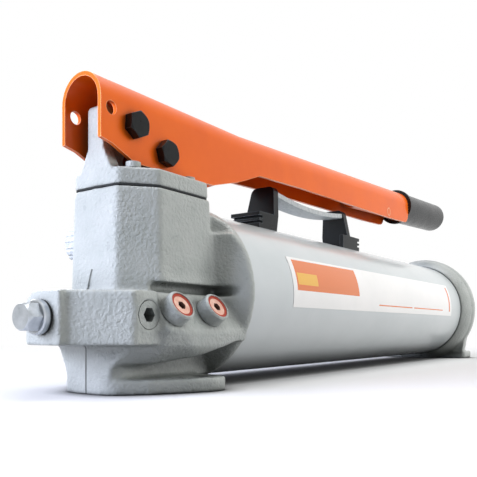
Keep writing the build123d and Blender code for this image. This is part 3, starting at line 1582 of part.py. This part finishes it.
# the wedge that cuts the label out of a thin ring reaches past the tube
reach = 1.5 * tube_r
label_high = radians(label_high_angle)
label_low = radians(label_low_angle)
with BuildPart() as side_label:
    with BuildSketch(Plane.YZ.offset(label_front_x)):
        with Locations((0, tube_axis_z)):
            Circle(tube_r + label_thickness)
            Circle(tube_r, mode=Mode.SUBTRACT)
        with BuildLine():
            Polyline(
                (0, tube_axis_z),
                (-reach * cos(label_high), tube_axis_z + reach * sin(label_high)),
                (-reach * cos(label_low), tube_axis_z - reach * sin(label_low)),
                close=True,
            )
        make_face(mode=Mode.INTERSECT)
    extrude(amount=label_length)
side_label.part.label = "side_label"
export_step(side_label.part, "parts/side_label.step")
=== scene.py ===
"""Looks of a lever-operated hydraulic hand pump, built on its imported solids.

Everything is in metres in the pump's own frame: the floor is z 0, the ports are on the -Y side,
and +X runs back along the reservoir to the lever's grip.
"""

import json
import math

import bmesh
import bpy
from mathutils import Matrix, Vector


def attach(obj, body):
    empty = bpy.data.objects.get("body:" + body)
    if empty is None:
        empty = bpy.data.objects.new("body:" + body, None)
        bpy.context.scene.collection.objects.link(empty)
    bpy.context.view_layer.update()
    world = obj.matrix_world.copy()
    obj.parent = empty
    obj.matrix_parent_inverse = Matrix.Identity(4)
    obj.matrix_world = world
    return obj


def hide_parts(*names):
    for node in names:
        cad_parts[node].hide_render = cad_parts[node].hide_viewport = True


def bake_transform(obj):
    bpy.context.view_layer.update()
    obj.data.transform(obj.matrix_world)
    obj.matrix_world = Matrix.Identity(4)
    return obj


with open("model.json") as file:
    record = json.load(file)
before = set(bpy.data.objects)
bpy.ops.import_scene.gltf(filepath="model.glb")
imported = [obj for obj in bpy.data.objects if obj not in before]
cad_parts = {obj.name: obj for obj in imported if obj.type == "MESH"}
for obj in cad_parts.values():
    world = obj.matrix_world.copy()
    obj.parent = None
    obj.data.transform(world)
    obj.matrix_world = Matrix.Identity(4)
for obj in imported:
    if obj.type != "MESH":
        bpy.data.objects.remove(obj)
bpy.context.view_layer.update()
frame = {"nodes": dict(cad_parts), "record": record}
nodes = frame["nodes"]
scene = bpy.context.scene
mm = 0.001

tube_axis_z = 56 * mm
weld_centre = (328 * mm, -15 * mm, 151.5 * mm)  # plug weld on the beam's near cheek

# marks of the mould, low on the front of the head
parting_top_z = 26 * mm
parting_back_x = -38 * mm
chip_foot_z = 53.5 * mm
chip_tip_z = 65.5 * mm
chip_lean = 0.30  # run along Y for each unit down from the tip


# ---------------------------------------------------------------- colours and materials
def srgb(hex_colour):
    """An sRGB hex colour as the linear numbers that the shaders take."""
    parts = [int(hex_colour[i : i + 2], 16) / 255 for i in (1, 3, 5)]
    return (*[c / 12.92 if c <= 0.04045 else ((c + 0.055) / 1.055) ** 2.4 for c in parts], 1.0)


def per_mm(size):
    """A texture scale that gives features of this size in millimetres."""
    return 1000.0 / size


def add_node(tree, kind, inputs=None, **settings):
    """Adds one node with its settings. An input is a value, or the socket that feeds it."""
    node = tree.nodes.new(kind)
    for name, value in settings.items():
        setattr(node, name, value)
    for key, value in (inputs or {}).items():
        if isinstance(value, bpy.types.NodeSocket):
            tree.links.new(value, node.inputs[key])
        else:
            node.inputs[key].default_value = value
    return node


def only_node(tree, kind):
    """The one node of its kind that a finish has made so far."""
    return next(node for node in tree.nodes if node.bl_idname == kind)


def finish(name, light, dark, mottle_mm, grain_mm, relief_mm, rough, metallic=0.0, ior=1.5,
           detail=3.0, coat=0.0, coat_rough=0.2, stretch=None, wear=None, wear_mm=0.5,
           grime=None, gloss=0.5):
    """A finish: two near colours mottled together, a fine grain in relief, and a varied roughness.

    rough is the lowest and highest roughness. stretch scales the grain along x, y and z, for a
    drawn or turned surface. wear is a painted highlight: the lighter colour that shows
    within wear_mm of an edge. grime is painted shade: how far in mm from a
    corner the colour is darkened, and how much of the colour is left at its bottom.
    gloss is the shader's specular level, 0.5 for a bare moulding.
    """
    material = bpy.data.materials.new(name)
    material.use_nodes = True
    tree = material.node_tree
    tree.nodes.clear()
    place = add_node(tree, "ShaderNodeTexCoord").outputs["Object"]
    grain_place = place
    if stretch:
        grain_place = add_node(
            tree, "ShaderNodeMapping", {"Vector": place, "Scale": stretch}
        ).outputs["Vector"]
    mottle = add_node(
        tree, "ShaderNodeTexNoise",
        {"Vector": place, "Scale": per_mm(mottle_mm), "Detail": 4.0, "Roughness": 0.6},
    )
    grain = add_node(
        tree, "ShaderNodeTexNoise",
        {"Vector": grain_place, "Scale": per_mm(grain_mm), "Detail": detail, "Roughness": 0.55},
    )
    shade = add_node(
        tree, "ShaderNodeMapRange",
        {"Value": mottle.outputs["Fac"], "From Min": 0.35, "From Max": 0.65},
    )
    colour = add_node(
        tree, "ShaderNodeMix",
        {"Factor": shade.outputs["Result"], "A": srgb(dark), "B": srgb(light)},
        data_type="RGBA",
    ).outputs[2]
    # a lighter colour along the edges: a painted highlight, where edges would catch the light
    if wear:
        plain = add_node(tree, "ShaderNodeNewGeometry")
        rounded = add_node(tree, "ShaderNodeBevel", {"Radius": wear_mm * mm}, samples=6)
        agree = add_node(
            tree, "ShaderNodeVectorMath",
            {0: rounded.outputs["Normal"], 1: plain.outputs["Normal"]}, operation="DOT_PRODUCT",
        )
        edge_lit = add_node(
            tree, "ShaderNodeMapRange",
            {"Value": agree.outputs["Value"], "From Min": 0.99, "From Max": 0.90},
        )
        colour = add_node(
            tree, "ShaderNodeMix",
            {"Factor": edge_lit.outputs["Result"], "A": colour, "B": srgb(wear)},
            data_type="RGBA",
        ).outputs[2]
    # the colour darkened near corners by ambient occlusion: painted shade
    if grime:
        reach_mm, left = grime
        corner = add_node(tree, "ShaderNodeAmbientOcclusion", {"Distance": reach_mm * mm},
                          samples=8)
        painted_shade = add_node(
            tree, "ShaderNodeMapRange",
            {"Value": corner.outputs["AO"], "From Min": 0.15, "From Max": 0.85,
             "To Min": left, "To Max": 1.0},
        )
        colour = add_node(
            tree, "ShaderNodeMix", {"Factor": 1.0, "A": colour, "B": painted_shade.outputs["Result"]},
            data_type="RGBA", blend_type="MULTIPLY",
        ).outputs[2]
    roughness = add_node(
        tree, "ShaderNodeMapRange",
        {"Value": mottle.outputs["Fac"], "From Min": 0.3, "From Max": 0.7,
         "To Min": rough[0], "To Max": rough[1]},
    )
    relief = add_node(
        tree, "ShaderNodeBump",
        {"Height": grain.outputs["Fac"], "Distance": relief_mm * mm, "Strength": 1.0},
    )
    surface = add_node(
        tree, "ShaderNodeBsdfPrincipled",
        {"Base Color": colour, "Roughness": roughness.outputs["Result"],
         "Normal": relief.outputs["Normal"], "Metallic": metallic, "IOR": ior,
         "Specular IOR Level": gloss, "Coat Weight": coat, "Coat Roughness": coat_rough},
    )
    add_node(tree, "ShaderNodeOutputMaterial", {"Surface": surface.outputs["BSDF"]})
    return material


def cast_enamel(name, light, dark):
    """Grey enamel sprayed over sand-cast iron: the sand shows through as a wrinkled, orange-peel
    skin, coarser where the mould was rough and nearly smooth elsewhere."""
    material = finish(name, light, dark, mottle_mm=18, grain_mm=1.3, relief_mm=0.10,
                      rough=(0.26, 0.38), detail=2.0, coat=0.3, coat_rough=0.2,
                      grime=(26, 0.42))
    tree = material.node_tree
    place = add_node(tree, "ShaderNodeTexCoord").outputs["Object"]
    relief = only_node(tree, "ShaderNodeBump")
    surface = only_node(tree, "ShaderNodeBsdfPrincipled")
    # sand grains are 0.3 mm: the wrinkles that they leave are drawn at 1.9 mm so that they show
    wrinkle = add_node(
        tree, "ShaderNodeTexNoise",
        {"Vector": place, "Scale": per_mm(1.9), "Detail": 2.0, "Roughness": 0.5,
         "Distortion": 0.25},
    )
    # where the mould was rough
    patch = add_node(tree, "ShaderNodeTexNoise", {"Vector": place, "Scale": per_mm(30)})
    amount = add_node(
        tree, "ShaderNodeMapRange",
        {"Value": patch.outputs["Fac"], "From Min": 0.40, "From Max": 0.62,
         "To Min": 0.55, "To Max": 1.0},
    )
    wrinkling = add_node(
        tree, "ShaderNodeBump",
        {"Height": wrinkle.outputs["Fac"], "Distance": 0.85 * mm,
         "Strength": amount.outputs["Result"], "Normal": relief.outputs["Normal"]},
    )
    # the two halves of the mould meet on the middle plane, low on the front
    axes = add_node(tree, "ShaderNodeSeparateXYZ", {"Vector": place})
    aside = add_node(tree, "ShaderNodeMath", {0: axes.outputs["Y"]}, operation="ABSOLUTE")
    line = add_node(
        tree, "ShaderNodeMapRange",
        {"Value": aside.outputs[0], "From Min": 0.7 * mm, "From Max": 0.25 * mm},
    )
    low = add_node(tree, "ShaderNodeMath", {0: axes.outputs["Z"], 1: parting_top_z},
                   operation="LESS_THAN")
    front = add_node(tree, "ShaderNodeMath", {0: axes.outputs["X"], 1: parting_back_x},
                     operation="LESS_THAN")
    there = add_node(tree, "ShaderNodeMath", {0: low.outputs[0], 1: front.outputs[0]},
                     operation="MULTIPLY")
    parting = add_node(tree, "ShaderNodeMath", {0: line.outputs["Result"], 1: there.outputs[0]},
                       operation="MULTIPLY")
    # over it a corner of the mould broke out: its edge runs up from the port body to a point
    below_tip = add_node(tree, "ShaderNodeMath", {0: chip_tip_z, 1: axes.outputs["Z"]},
                         operation="SUBTRACT")
    edge_y = add_node(tree, "ShaderNodeMath", {0: below_tip.outputs[0], 1: chip_lean},
                      operation="MULTIPLY")
    off_edge = add_node(tree, "ShaderNodeMath", {0: axes.outputs["Y"], 1: edge_y.outputs[0]},
                        operation="SUBTRACT")
    off_edge = add_node(tree, "ShaderNodeMath", {0: off_edge.outputs[0]}, operation="ABSOLUTE")
    chip = add_node(
        tree, "ShaderNodeMapRange",
        {"Value": off_edge.outputs[0], "From Min": 0.9 * mm, "From Max": 0.3 * mm},
    )
    chip_zone = front
    for limit, test in ((chip_tip_z, "LESS_THAN"), (chip_foot_z, "GREATER_THAN")):
        level = add_node(tree, "ShaderNodeMath", {0: axes.outputs["Z"], 1: limit}, operation=test)
        chip_zone = add_node(tree, "ShaderNodeMath",
                             {0: chip_zone.outputs[0], 1: level.outputs[0]},
                             operation="MULTIPLY")
    chip = add_node(tree, "ShaderNodeMath", {0: chip.outputs[0], 1: chip_zone.outputs[0]},
                    operation="MULTIPLY")
    marks = add_node(tree, "ShaderNodeMath", {0: parting.outputs[0], 1: chip.outputs[0]},
                     operation="MAXIMUM")
    groove = add_node(
        tree, "ShaderNodeBump",
        {"Height": marks.outputs[0], "Distance": 0.6 * mm, "Strength": 1.0,
         "Normal": wrinkling.outputs["Normal"]}, invert=True,
    )
    # the marks' grooves are real relief; their darker colour is painted shade in the grooves
    colour = add_node(
        tree, "ShaderNodeMix",
        {"Factor": marks.outputs[0], "A": surface.inputs["Base Color"].links[0].from_socket,
         "B": srgb("#5E625F")},
        data_type="RGBA",
    ).outputs[2]
    tree.links.new(colour, surface.inputs["Base Color"])
    tree.links.new(groove.outputs["Normal"], surface.inputs["Normal"])
    return material


def welded_powder_coat(name, light, dark, **settings):
    """Powder coat over sheet, with the round plug weld that holds the lever's tube in the beam,
    its raised ring lightened as a painted highlight.
    """
    material = finish(name, light, dark, **settings)
    tree = material.node_tree
    surface = only_node(tree, "ShaderNodeBsdfPrincipled")
    place = add_node(tree, "ShaderNodeTexCoord").outputs["Object"]
    reach = add_node(tree, "ShaderNodeVectorMath", {0: place, 1: weld_centre},
                     operation="DISTANCE")
    outer = add_node(tree, "ShaderNodeMapRange",
                     {"Value": reach.outputs["Value"], "From Min": 4.6 * mm, "From Max": 3.9 * mm})
    inner = add_node(tree, "ShaderNodeMapRange",
                     {"Value": reach.outputs["Value"], "From Min": 2.6 * mm, "From Max": 3.3 * mm})
    ring = add_node(tree, "ShaderNodeMath",
                    {0: outer.outputs["Result"], 1: inner.outputs["Result"]},
                    operation="MULTIPLY")
    # the weld's raised ring is lightened: a painted highlight
    ring_highlight = add_node(tree, "ShaderNodeMath", {0: ring.outputs[0], 1: 0.55}, operation="MULTIPLY")
    colour = add_node(
        tree, "ShaderNodeMix",
        {"Factor": ring_highlight.outputs[0], "A": surface.inputs["Base Color"].links[0].from_socket,
         "B": srgb("#FFC79C")},
        data_type="RGBA",
    ).outputs[2]
    raised = add_node(
        tree, "ShaderNodeBump",
        {"Height": ring.outputs[0], "Distance": 0.5 * mm, "Strength": 1.0,
         "Normal": surface.inputs["Normal"].links[0].from_socket},
    )
    tree.links.new(colour, surface.inputs["Base Color"])
    tree.links.new(raised.outputs["Normal"], surface.inputs["Normal"])
    return material


def label_film(name):
    """Gloss printed film laid round the tube: white, with plain blocks and stripes of colour.
    A block is its two ends along the tube, and its two angles above the tube's near side."""
    blocks = [
        ("#E2762E", 85, 180, 3.6, 27.5),
        ("#EDB43A", 87, 114, 8.0, 17.0),
        ("#E2762E", 218, 296, -3.4, -2.2),
        ("#E2762E", 300, 386, -3.4, -2.2),
        ("#DC6A2C", 407, 411, -4.0, 26.0),
    ]
    material = finish(name, "#F5F3F1", "#EFEEEC", mottle_mm=40, grain_mm=0.8, relief_mm=0.01,
                      rough=(0.16, 0.24), coat=0.4, coat_rough=0.08)
    tree = material.node_tree
    surface = only_node(tree, "ShaderNodeBsdfPrincipled")
    colour = surface.inputs["Base Color"].links[0].from_socket
    place = add_node(tree, "ShaderNodeTexCoord").outputs["Object"]
    axes = add_node(tree, "ShaderNodeSeparateXYZ", {"Vector": place})
    height = add_node(tree, "ShaderNodeMath", {0: axes.outputs["Z"], 1: tube_axis_z},
                      operation="SUBTRACT")
    near = add_node(tree, "ShaderNodeMath", {0: axes.outputs["Y"], 1: -1.0}, operation="MULTIPLY")
    angle = add_node(tree, "ShaderNodeMath", {0: height.outputs[0], 1: near.outputs[0]},
                     operation="ARCTAN2")
    for ink, start, end, low, high in blocks:
        inside = None
        for socket, limit, test in (
            (axes.outputs["X"], start * mm, "GREATER_THAN"),
            (axes.outputs["X"], end * mm, "LESS_THAN"),
            (angle.outputs[0], math.radians(low), "GREATER_THAN"),
            (angle.outputs[0], math.radians(high), "LESS_THAN"),
        ):
            passed = add_node(tree, "ShaderNodeMath", {0: socket, 1: limit}, operation=test)
            if inside:
                passed = add_node(tree, "ShaderNodeMath",
                                  {0: inside.outputs[0], 1: passed.outputs[0]},
                                  operation="MULTIPLY")
            inside = passed
        colour = add_node(tree, "ShaderNodeMix",
                          {"Factor": inside.outputs[0], "A": colour, "B": srgb(ink)},
                          data_type="RGBA").outputs[2]
    tree.links.new(colour, surface.inputs["Base Color"])
    return material


# each finish's edge colour is a painted highlight, and its darkening in corners is painted shade
materials = {
    # grey enamel on rough castings
    "cast_paint": cast_enamel("grey_enamel_on_cast_iron", "#ACB0AC", "#A2A7A3"),
    # the same grey sprayed on smooth drawn tube, glossier and paler
    "tube_paint": finish("light_grey_enamel_on_drawn_tube", "#CDD2D3", "#C6CCCD", mottle_mm=60,
                         grain_mm=1.6, relief_mm=0.012, rough=(0.20, 0.27), coat=0.3,
                         coat_rough=0.12, grime=(22, 0.55)),
    # polyester powder coat on folded steel sheet: a faint orange-peel in a satin gloss
    "orange_powder_coat": welded_powder_coat(
        "orange_powder_coat_on_sheet_steel", "#EE6A16", "#E66212", mottle_mm=45, grain_mm=1.4,
        relief_mm=0.02, rough=(0.28, 0.36), wear="#FFC08E", wear_mm=0.5, grime=(14, 0.30),
        gloss=0.22, coat=0.15, coat_rough=0.12,
    ),
    # black oxide on forged bolts, oily and uneven
    "black_oxide_steel": finish("black_oxide_on_forged_steel", "#121516", "#08090A", mottle_mm=5,
                                grain_mm=0.9, relief_mm=0.03, rough=(0.26, 0.44), metallic=0.25,
                                wear="#5A5F61", wear_mm=0.4, grime=(3, 0.4), gloss=0.3),
    # bright zinc plate on turned steel, a little cloudy
    "zinc_plated_steel": finish("zinc_plate_on_turned_steel", "#C2C7CD", "#AAB0B6", mottle_mm=6,
                                grain_mm=0.8, relief_mm=0.03, rough=(0.26, 0.40), metallic=1.0,
                                wear="#C6CBD0", wear_mm=0.3, grime=(3, 0.22)),
    # cylindrically ground steel: grinding lines run round it
    "ground_steel": finish("ground_steel", "#C2C4C6", "#B0B3B5", mottle_mm=8, grain_mm=0.5,
                           relief_mm=0.008, rough=(0.16, 0.26), metallic=1.0,
                           stretch=(1.0, 1.0, 9.0)),
    "spring_steel": finish("drawn_spring_wire", "#8E9092", "#77797B", mottle_mm=3, grain_mm=0.4,
                           relief_mm=0.01, rough=(0.28, 0.4), metallic=1.0),
    "bronze": finish("turned_bronze", "#B88A4A", "#A57A3E", mottle_mm=7, grain_mm=0.5,
                     relief_mm=0.01, rough=(0.24, 0.36), metallic=1.0, stretch=(1.0, 1.0, 8.0)),
    # adjusting screws with a warm copper-coloured passivate
    "copper": finish("copper_coloured_passivate", "#EBC4B2", "#DDA48E", mottle_mm=3, grain_mm=0.6,
                     relief_mm=0.02, rough=(0.30, 0.44), metallic=0.35, wear="#F6C8B2",
                     wear_mm=0.3, grime=(5, 0.0)),
    "red_fibre": finish("pressed_red_fibre", "#B0402C", "#983424", mottle_mm=2.5, grain_mm=0.5,
                        relief_mm=0.03, rough=(0.5, 0.66)),
    # hand grip rubber, moulded with a pebble texture, and worn to a shine by hands
    "black_rubber": finish("pebbled_black_rubber", "#101213", "#0A0B0C", mottle_mm=12,
                           grain_mm=1.8, relief_mm=0.10, rough=(0.20, 0.32), detail=1.0,
                           gloss=0.3),
    "seal_rubber": finish("nitrile_seal_rubber", "#1E1F20", "#17181A", mottle_mm=6, grain_mm=0.8,
                          relief_mm=0.01, rough=(0.4, 0.52)),
    "gasket_fibre": finish("compressed_gasket_fibre", "#2E3031", "#232526", mottle_mm=4,
                           grain_mm=0.5, relief_mm=0.03, rough=(0.65, 0.8)),
    # glass-filled nylon out of a spark-eroded mould: matt with a fine grain
    "black_nylon": finish("moulded_black_nylon", "#0F1214", "#090B0C", mottle_mm=14, grain_mm=1.2,
                          relief_mm=0.05, rough=(0.26, 0.38), wear="#50575B", wear_mm=0.6,
                          grime=(5, 0.5), gloss=0.25),
    "grey_nylon": finish("moulded_grey_nylon", "#C9CDCE", "#A9AFB1", mottle_mm=3, grain_mm=1.1,
                         relief_mm=0.08, rough=(0.4, 0.52)),
    "label_film": label_film("printed_label_film"),
}
slot_of = {entry["node"]: entry["material_slot"] for entry in frame["record"]["subparts"]}


def coat_with(piece, slot):
    """Gives a piece one slot's material."""
    piece.data.materials.clear()
    piece.data.materials.append(materials[slot])


for node_name, node in nodes.items():
    coat_with(node, slot_of[node_name])


# ---------------------------------------------------------------- making pieces
edge_angle = 32  # in degrees: a sharper turn is an edge, to be bevelled or shaded as one
spring_angle = 60
all_smooth = 180
flat_angle = 0.6  # triangles closer to one plane than this are one flat


def piece_from(build, name, body, slot, smooth_below, replaces):
    """Turns a bmesh into a finished piece that rides on a body, or on none as yet."""
    bmesh.ops.recalc_face_normals(build, faces=build.faces)
    mesh = bpy.data.meshes.new(name)
    build.to_mesh(mesh)
    build.free()
    mesh.shade_smooth()
    mesh.set_sharp_from_angle(angle=math.radians(smooth_below))
    piece = bpy.data.objects.new(name, mesh)
    scene.collection.objects.link(piece)
    coat_with(piece, slot)
    if body:
        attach(piece, body)
    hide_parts(*replaces)
    return piece


def joined_up(node_name):
    """A bmesh of a solid, its loose triangles joined up."""
    build = bmesh.new()
    build.from_mesh(nodes[node_name].data)
    bmesh.ops.remove_doubles(build, verts=build.verts, dist=0.002 * mm)
    return build


def with_modifier(build, name, kind, **settings):
    """The bmesh after a modifier with these settings has been applied to it."""
    mesh = bpy.data.meshes.new(name + "_blank")
    build.to_mesh(mesh)
    build.free()
    blank = bpy.data.objects.new(name + "_blank", mesh)
    scene.collection.objects.link(blank)
    modifier = blank.modifiers.new(kind.title(), kind)
    for key, value in settings.items():
        setattr(modifier, key, value)
    shaped = bpy.data.meshes.new_from_object(
        blank.evaluated_get(bpy.context.evaluated_depsgraph_get())
    )
    made = bmesh.new()
    made.from_mesh(shaped)
    bpy.data.objects.remove(blank)
    for scrap in (shaped, mesh):
        bpy.data.meshes.remove(scrap)
    return made


def casting(node_name, body, voxel, passes):
    """A solid as it comes out of a sand mould: every edge run round and every corner filled."""
    build = with_modifier(joined_up(node_name), node_name, "REMESH", mode="VOXEL",
                          voxel_size=voxel * mm)
    for _ in range(passes):
        bmesh.ops.smooth_vert(build, verts=build.verts, factor=0.5,
                              use_axis_x=True, use_axis_y=True, use_axis_z=True)
    piece_from(build, "cast_" + node_name, body, slot_of[node_name], all_smooth,
               replaces=(node_name,))


def eased(node_name, body, width):
    """A solid with its sharp edges broken, as deburring and paint leave them."""
    build = joined_up(node_name)
    bmesh.ops.dissolve_degenerate(build, dist=0.05 * mm, edges=build.edges)
    bmesh.ops.dissolve_limit(build, angle_limit=math.radians(flat_angle), verts=build.verts,
                             edges=build.edges, delimit={"NORMAL"})
    build = with_modifier(build, node_name, "BEVEL", width=width * mm, segments=2,
                          limit_method="ANGLE", angle_limit=math.radians(edge_angle),
                          profile=0.5, use_clamp_overlap=True, miter_outer="MITER_ARC")
    piece = piece_from(build, "eased_" + node_name, body, slot_of[node_name], edge_angle,
                       replaces=(node_name,))
    # the wide flats keep their own normal, so that only the edges shade round
    flats = piece.modifiers.new("flats", "WEIGHTED_NORMAL")
    flats.keep_sharp = True
    flats.weight = 80


# ---------------------------------------------------------------- castings
for node_name, voxel, passes in (
    ("head_casting", 1.05, 7),
    ("head_cover", 0.8, 4),
    ("rear_end_cap", 1.2, 3),
):
    casting(node_name, "pump", voxel, passes)

# ---------------------------------------------------------------- sheet steel, bolts and fittings
for node_name, body, width in (
    ("handle_beam", "handle", 0.45),
    ("fulcrum_bolt", "handle", 0.35),
    ("plunger_pin_bolt", "handle", 0.35),
    ("fulcrum_nut", "handle", 0.35),
    ("plunger_pin_nut", "handle", 0.35),
    ("outlet_plug", "pump", 0.35),
    ("relief_valve_cap", "pump", 0.3),
    ("unloader_valve_cap", "pump", 0.3),
    ("carry_bracket_front", "pump", 0.8),
    ("carry_bracket_rear", "pump", 0.8),
    ("carry_strap", "pump", 0.7),
    ("cover_screws", "pump", 0.4),
):
    eased(node_name, body, width)


# ---------------------------------------------------------------- springs
def spring_behind(node_name):
    """A coil spring behind a valve ball, made a piece of its own that rides on no body."""
    build = joined_up(node_name)
    piece = piece_from(build, "live_" + node_name, None, slot_of[node_name], spring_angle,
                       replaces=(node_name,))
    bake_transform(piece)


forward = (-1, 0, 0)
slanted = (0, -0.848048, 0.529919)  # up and outwards, along the two side valves
for ball, lift in (
    ("outlet_check", forward),
    ("inlet_check", forward),
    ("relief", slanted),
    ("unloader", slanted),
):
    spring_behind(ball + "_spring")


# ---------------------------------------------------------------- room, lamps and camera
def seen_white(tree):
    """1 for rays that the camera, a reflection or a clear body sends out, 0 for light's own."""
    rays = add_node(tree, "ShaderNodeLightPath")
    seen = rays.outputs["Is Camera Ray"]
    for kind in ("Is Glossy Ray", "Is Transmission Ray"):
        seen = add_node(tree, "ShaderNodeMath", {0: seen, 1: rays.outputs[kind]},
                        operation="MAXIMUM").outputs[0]
    return seen


floor_mesh = bmesh.new()
bmesh.ops.create_grid(floor_mesh, x_segments=1, y_segments=1, size=6.0)
floor_data = bpy.data.meshes.new("floor")
floor_mesh.to_mesh(floor_data)
floor_mesh.free()
floor = bpy.data.objects.new("floor", floor_data)
scene.collection.objects.link(floor)

paper = bpy.data.materials.new("white_paper_sweep")
paper.use_nodes = True
tree = paper.node_tree
tree.nodes.clear()
seen = seen_white(tree)
# the paper keeps its shadows near the pump, and turns into the white backdrop further off
spot = add_node(tree, "ShaderNodeTexCoord").outputs["Object"]
reach = add_node(tree, "ShaderNodeVectorMath", {0: spot, 1: (0.2, 0.0, 0.0)},
                 operation="DISTANCE")
fade = add_node(tree, "ShaderNodeMapRange",
                {"Value": reach.outputs["Value"], "From Min": 0.35, "From Max": 0.75,
                 "To Min": 0.0, "To Max": 1.0})
share = add_node(tree, "ShaderNodeMath", {0: seen, 1: fade.outputs["Result"]},
                 operation="MULTIPLY")
tone = add_node(tree, "ShaderNodeMix",
                {"Factor": seen, "A": srgb("#8E8E8E"), "B": srgb("#E6E6E6")},
                data_type="RGBA")
# and a painted contact shadow darkens it where the pump stands close over it
under = add_node(tree, "ShaderNodeAmbientOcclusion", {"Distance": 14 * mm}, samples=8)
depth = add_node(tree, "ShaderNodeMapRange",
                 {"Value": under.outputs["AO"], "From Min": 0.45, "From Max": 1.0,
                  "To Min": 0.16, "To Max": 1.0})
tone = add_node(tree, "ShaderNodeMix",
                {"Factor": 1.0, "A": tone.outputs[2], "B": depth.outputs["Result"]},
                data_type="RGBA", blend_type="MULTIPLY")
matt = add_node(tree, "ShaderNodeBsdfDiffuse", {"Color": tone.outputs[2]})
glow = add_node(tree, "ShaderNodeEmission", {"Color": srgb("#FFFFFF"), "Strength": 1.0})
blend = add_node(tree, "ShaderNodeMixShader",
                 {0: share.outputs[0], 1: matt.outputs[0], 2: glow.outputs[0]})
add_node(tree, "ShaderNodeOutputMaterial", {"Surface": blend.outputs[0]})
floor_data.materials.append(paper)

world = bpy.data.worlds.new("studio")
scene.world = world
world.use_nodes = True
tree = world.node_tree
tree.nodes.clear()
seen = seen_white(tree)
level = add_node(tree, "ShaderNodeMapRange", {"Value": seen, "To Min": 0.13, "To Max": 1.0})
backdrop = add_node(tree, "ShaderNodeBackground",
                    {"Color": srgb("#FFFFFF"), "Strength": level.outputs["Result"]})
add_node(tree, "ShaderNodeOutputWorld", {"Surface": backdrop.outputs[0]})


def softbox(name, place, aim, width, height, power, colour="#FFFFFF", mirrored=True):
    """A rectangular soft lamp at one place, aimed at another. mirrored: gloss reflects it."""
    lamp = bpy.data.lights.new(name, "AREA")
    lamp.shape = "RECTANGLE"
    lamp.size = width
    lamp.size_y = height
    lamp.energy = power
    lamp.color = srgb(colour)[:3]
    holder = bpy.data.objects.new(name, lamp)
    holder.location = place
    holder.visible_glossy = mirrored
    holder.rotation_euler = (Vector(aim) - Vector(place)).to_track_quat("-Z", "Y").to_euler()
    scene.collection.objects.link(holder)


softbox("left_softbox", (-1.20, 0.62, 0.45), (-0.02, 0.0, 0.08), 0.9, 0.9, 50.0, "#E4E9FF",
        mirrored=False)
softbox("top_softbox", (0.20, -0.15, 1.40), (0.20, 0.0, 0.08), 1.4, 0.8, 11.0)
softbox("right_softbox", (0.95, -1.25, 0.50), (0.15, 0.0, 0.06), 1.2, 0.8, 20.0, mirrored=False)
softbox("rear_softbox", (0.45, 1.20, 0.80), (0.15, 0.0, 0.08), 1.2, 0.7, 6.0)

camera = bpy.data.cameras.new("camera")
camera.lens = 46.45
camera.sensor_width = 36.0
camera.shift_x = -0.0107
camera.shift_y = 0.189
camera.clip_start = 0.01
view_from = Vector((-0.2610, -0.2517, 0.0342))
yaw = math.radians(35.17)
camera_holder = bpy.data.objects.new("camera", camera)
camera_holder.location = view_from
camera_holder.rotation_euler = (
    Vector((math.cos(yaw), math.sin(yaw), 0.0)).to_track_quat("-Z", "Y").to_euler()
)
scene.collection.objects.link(camera_holder)
scene.camera = camera_holder
scene.view_settings.view_transform = "Standard"
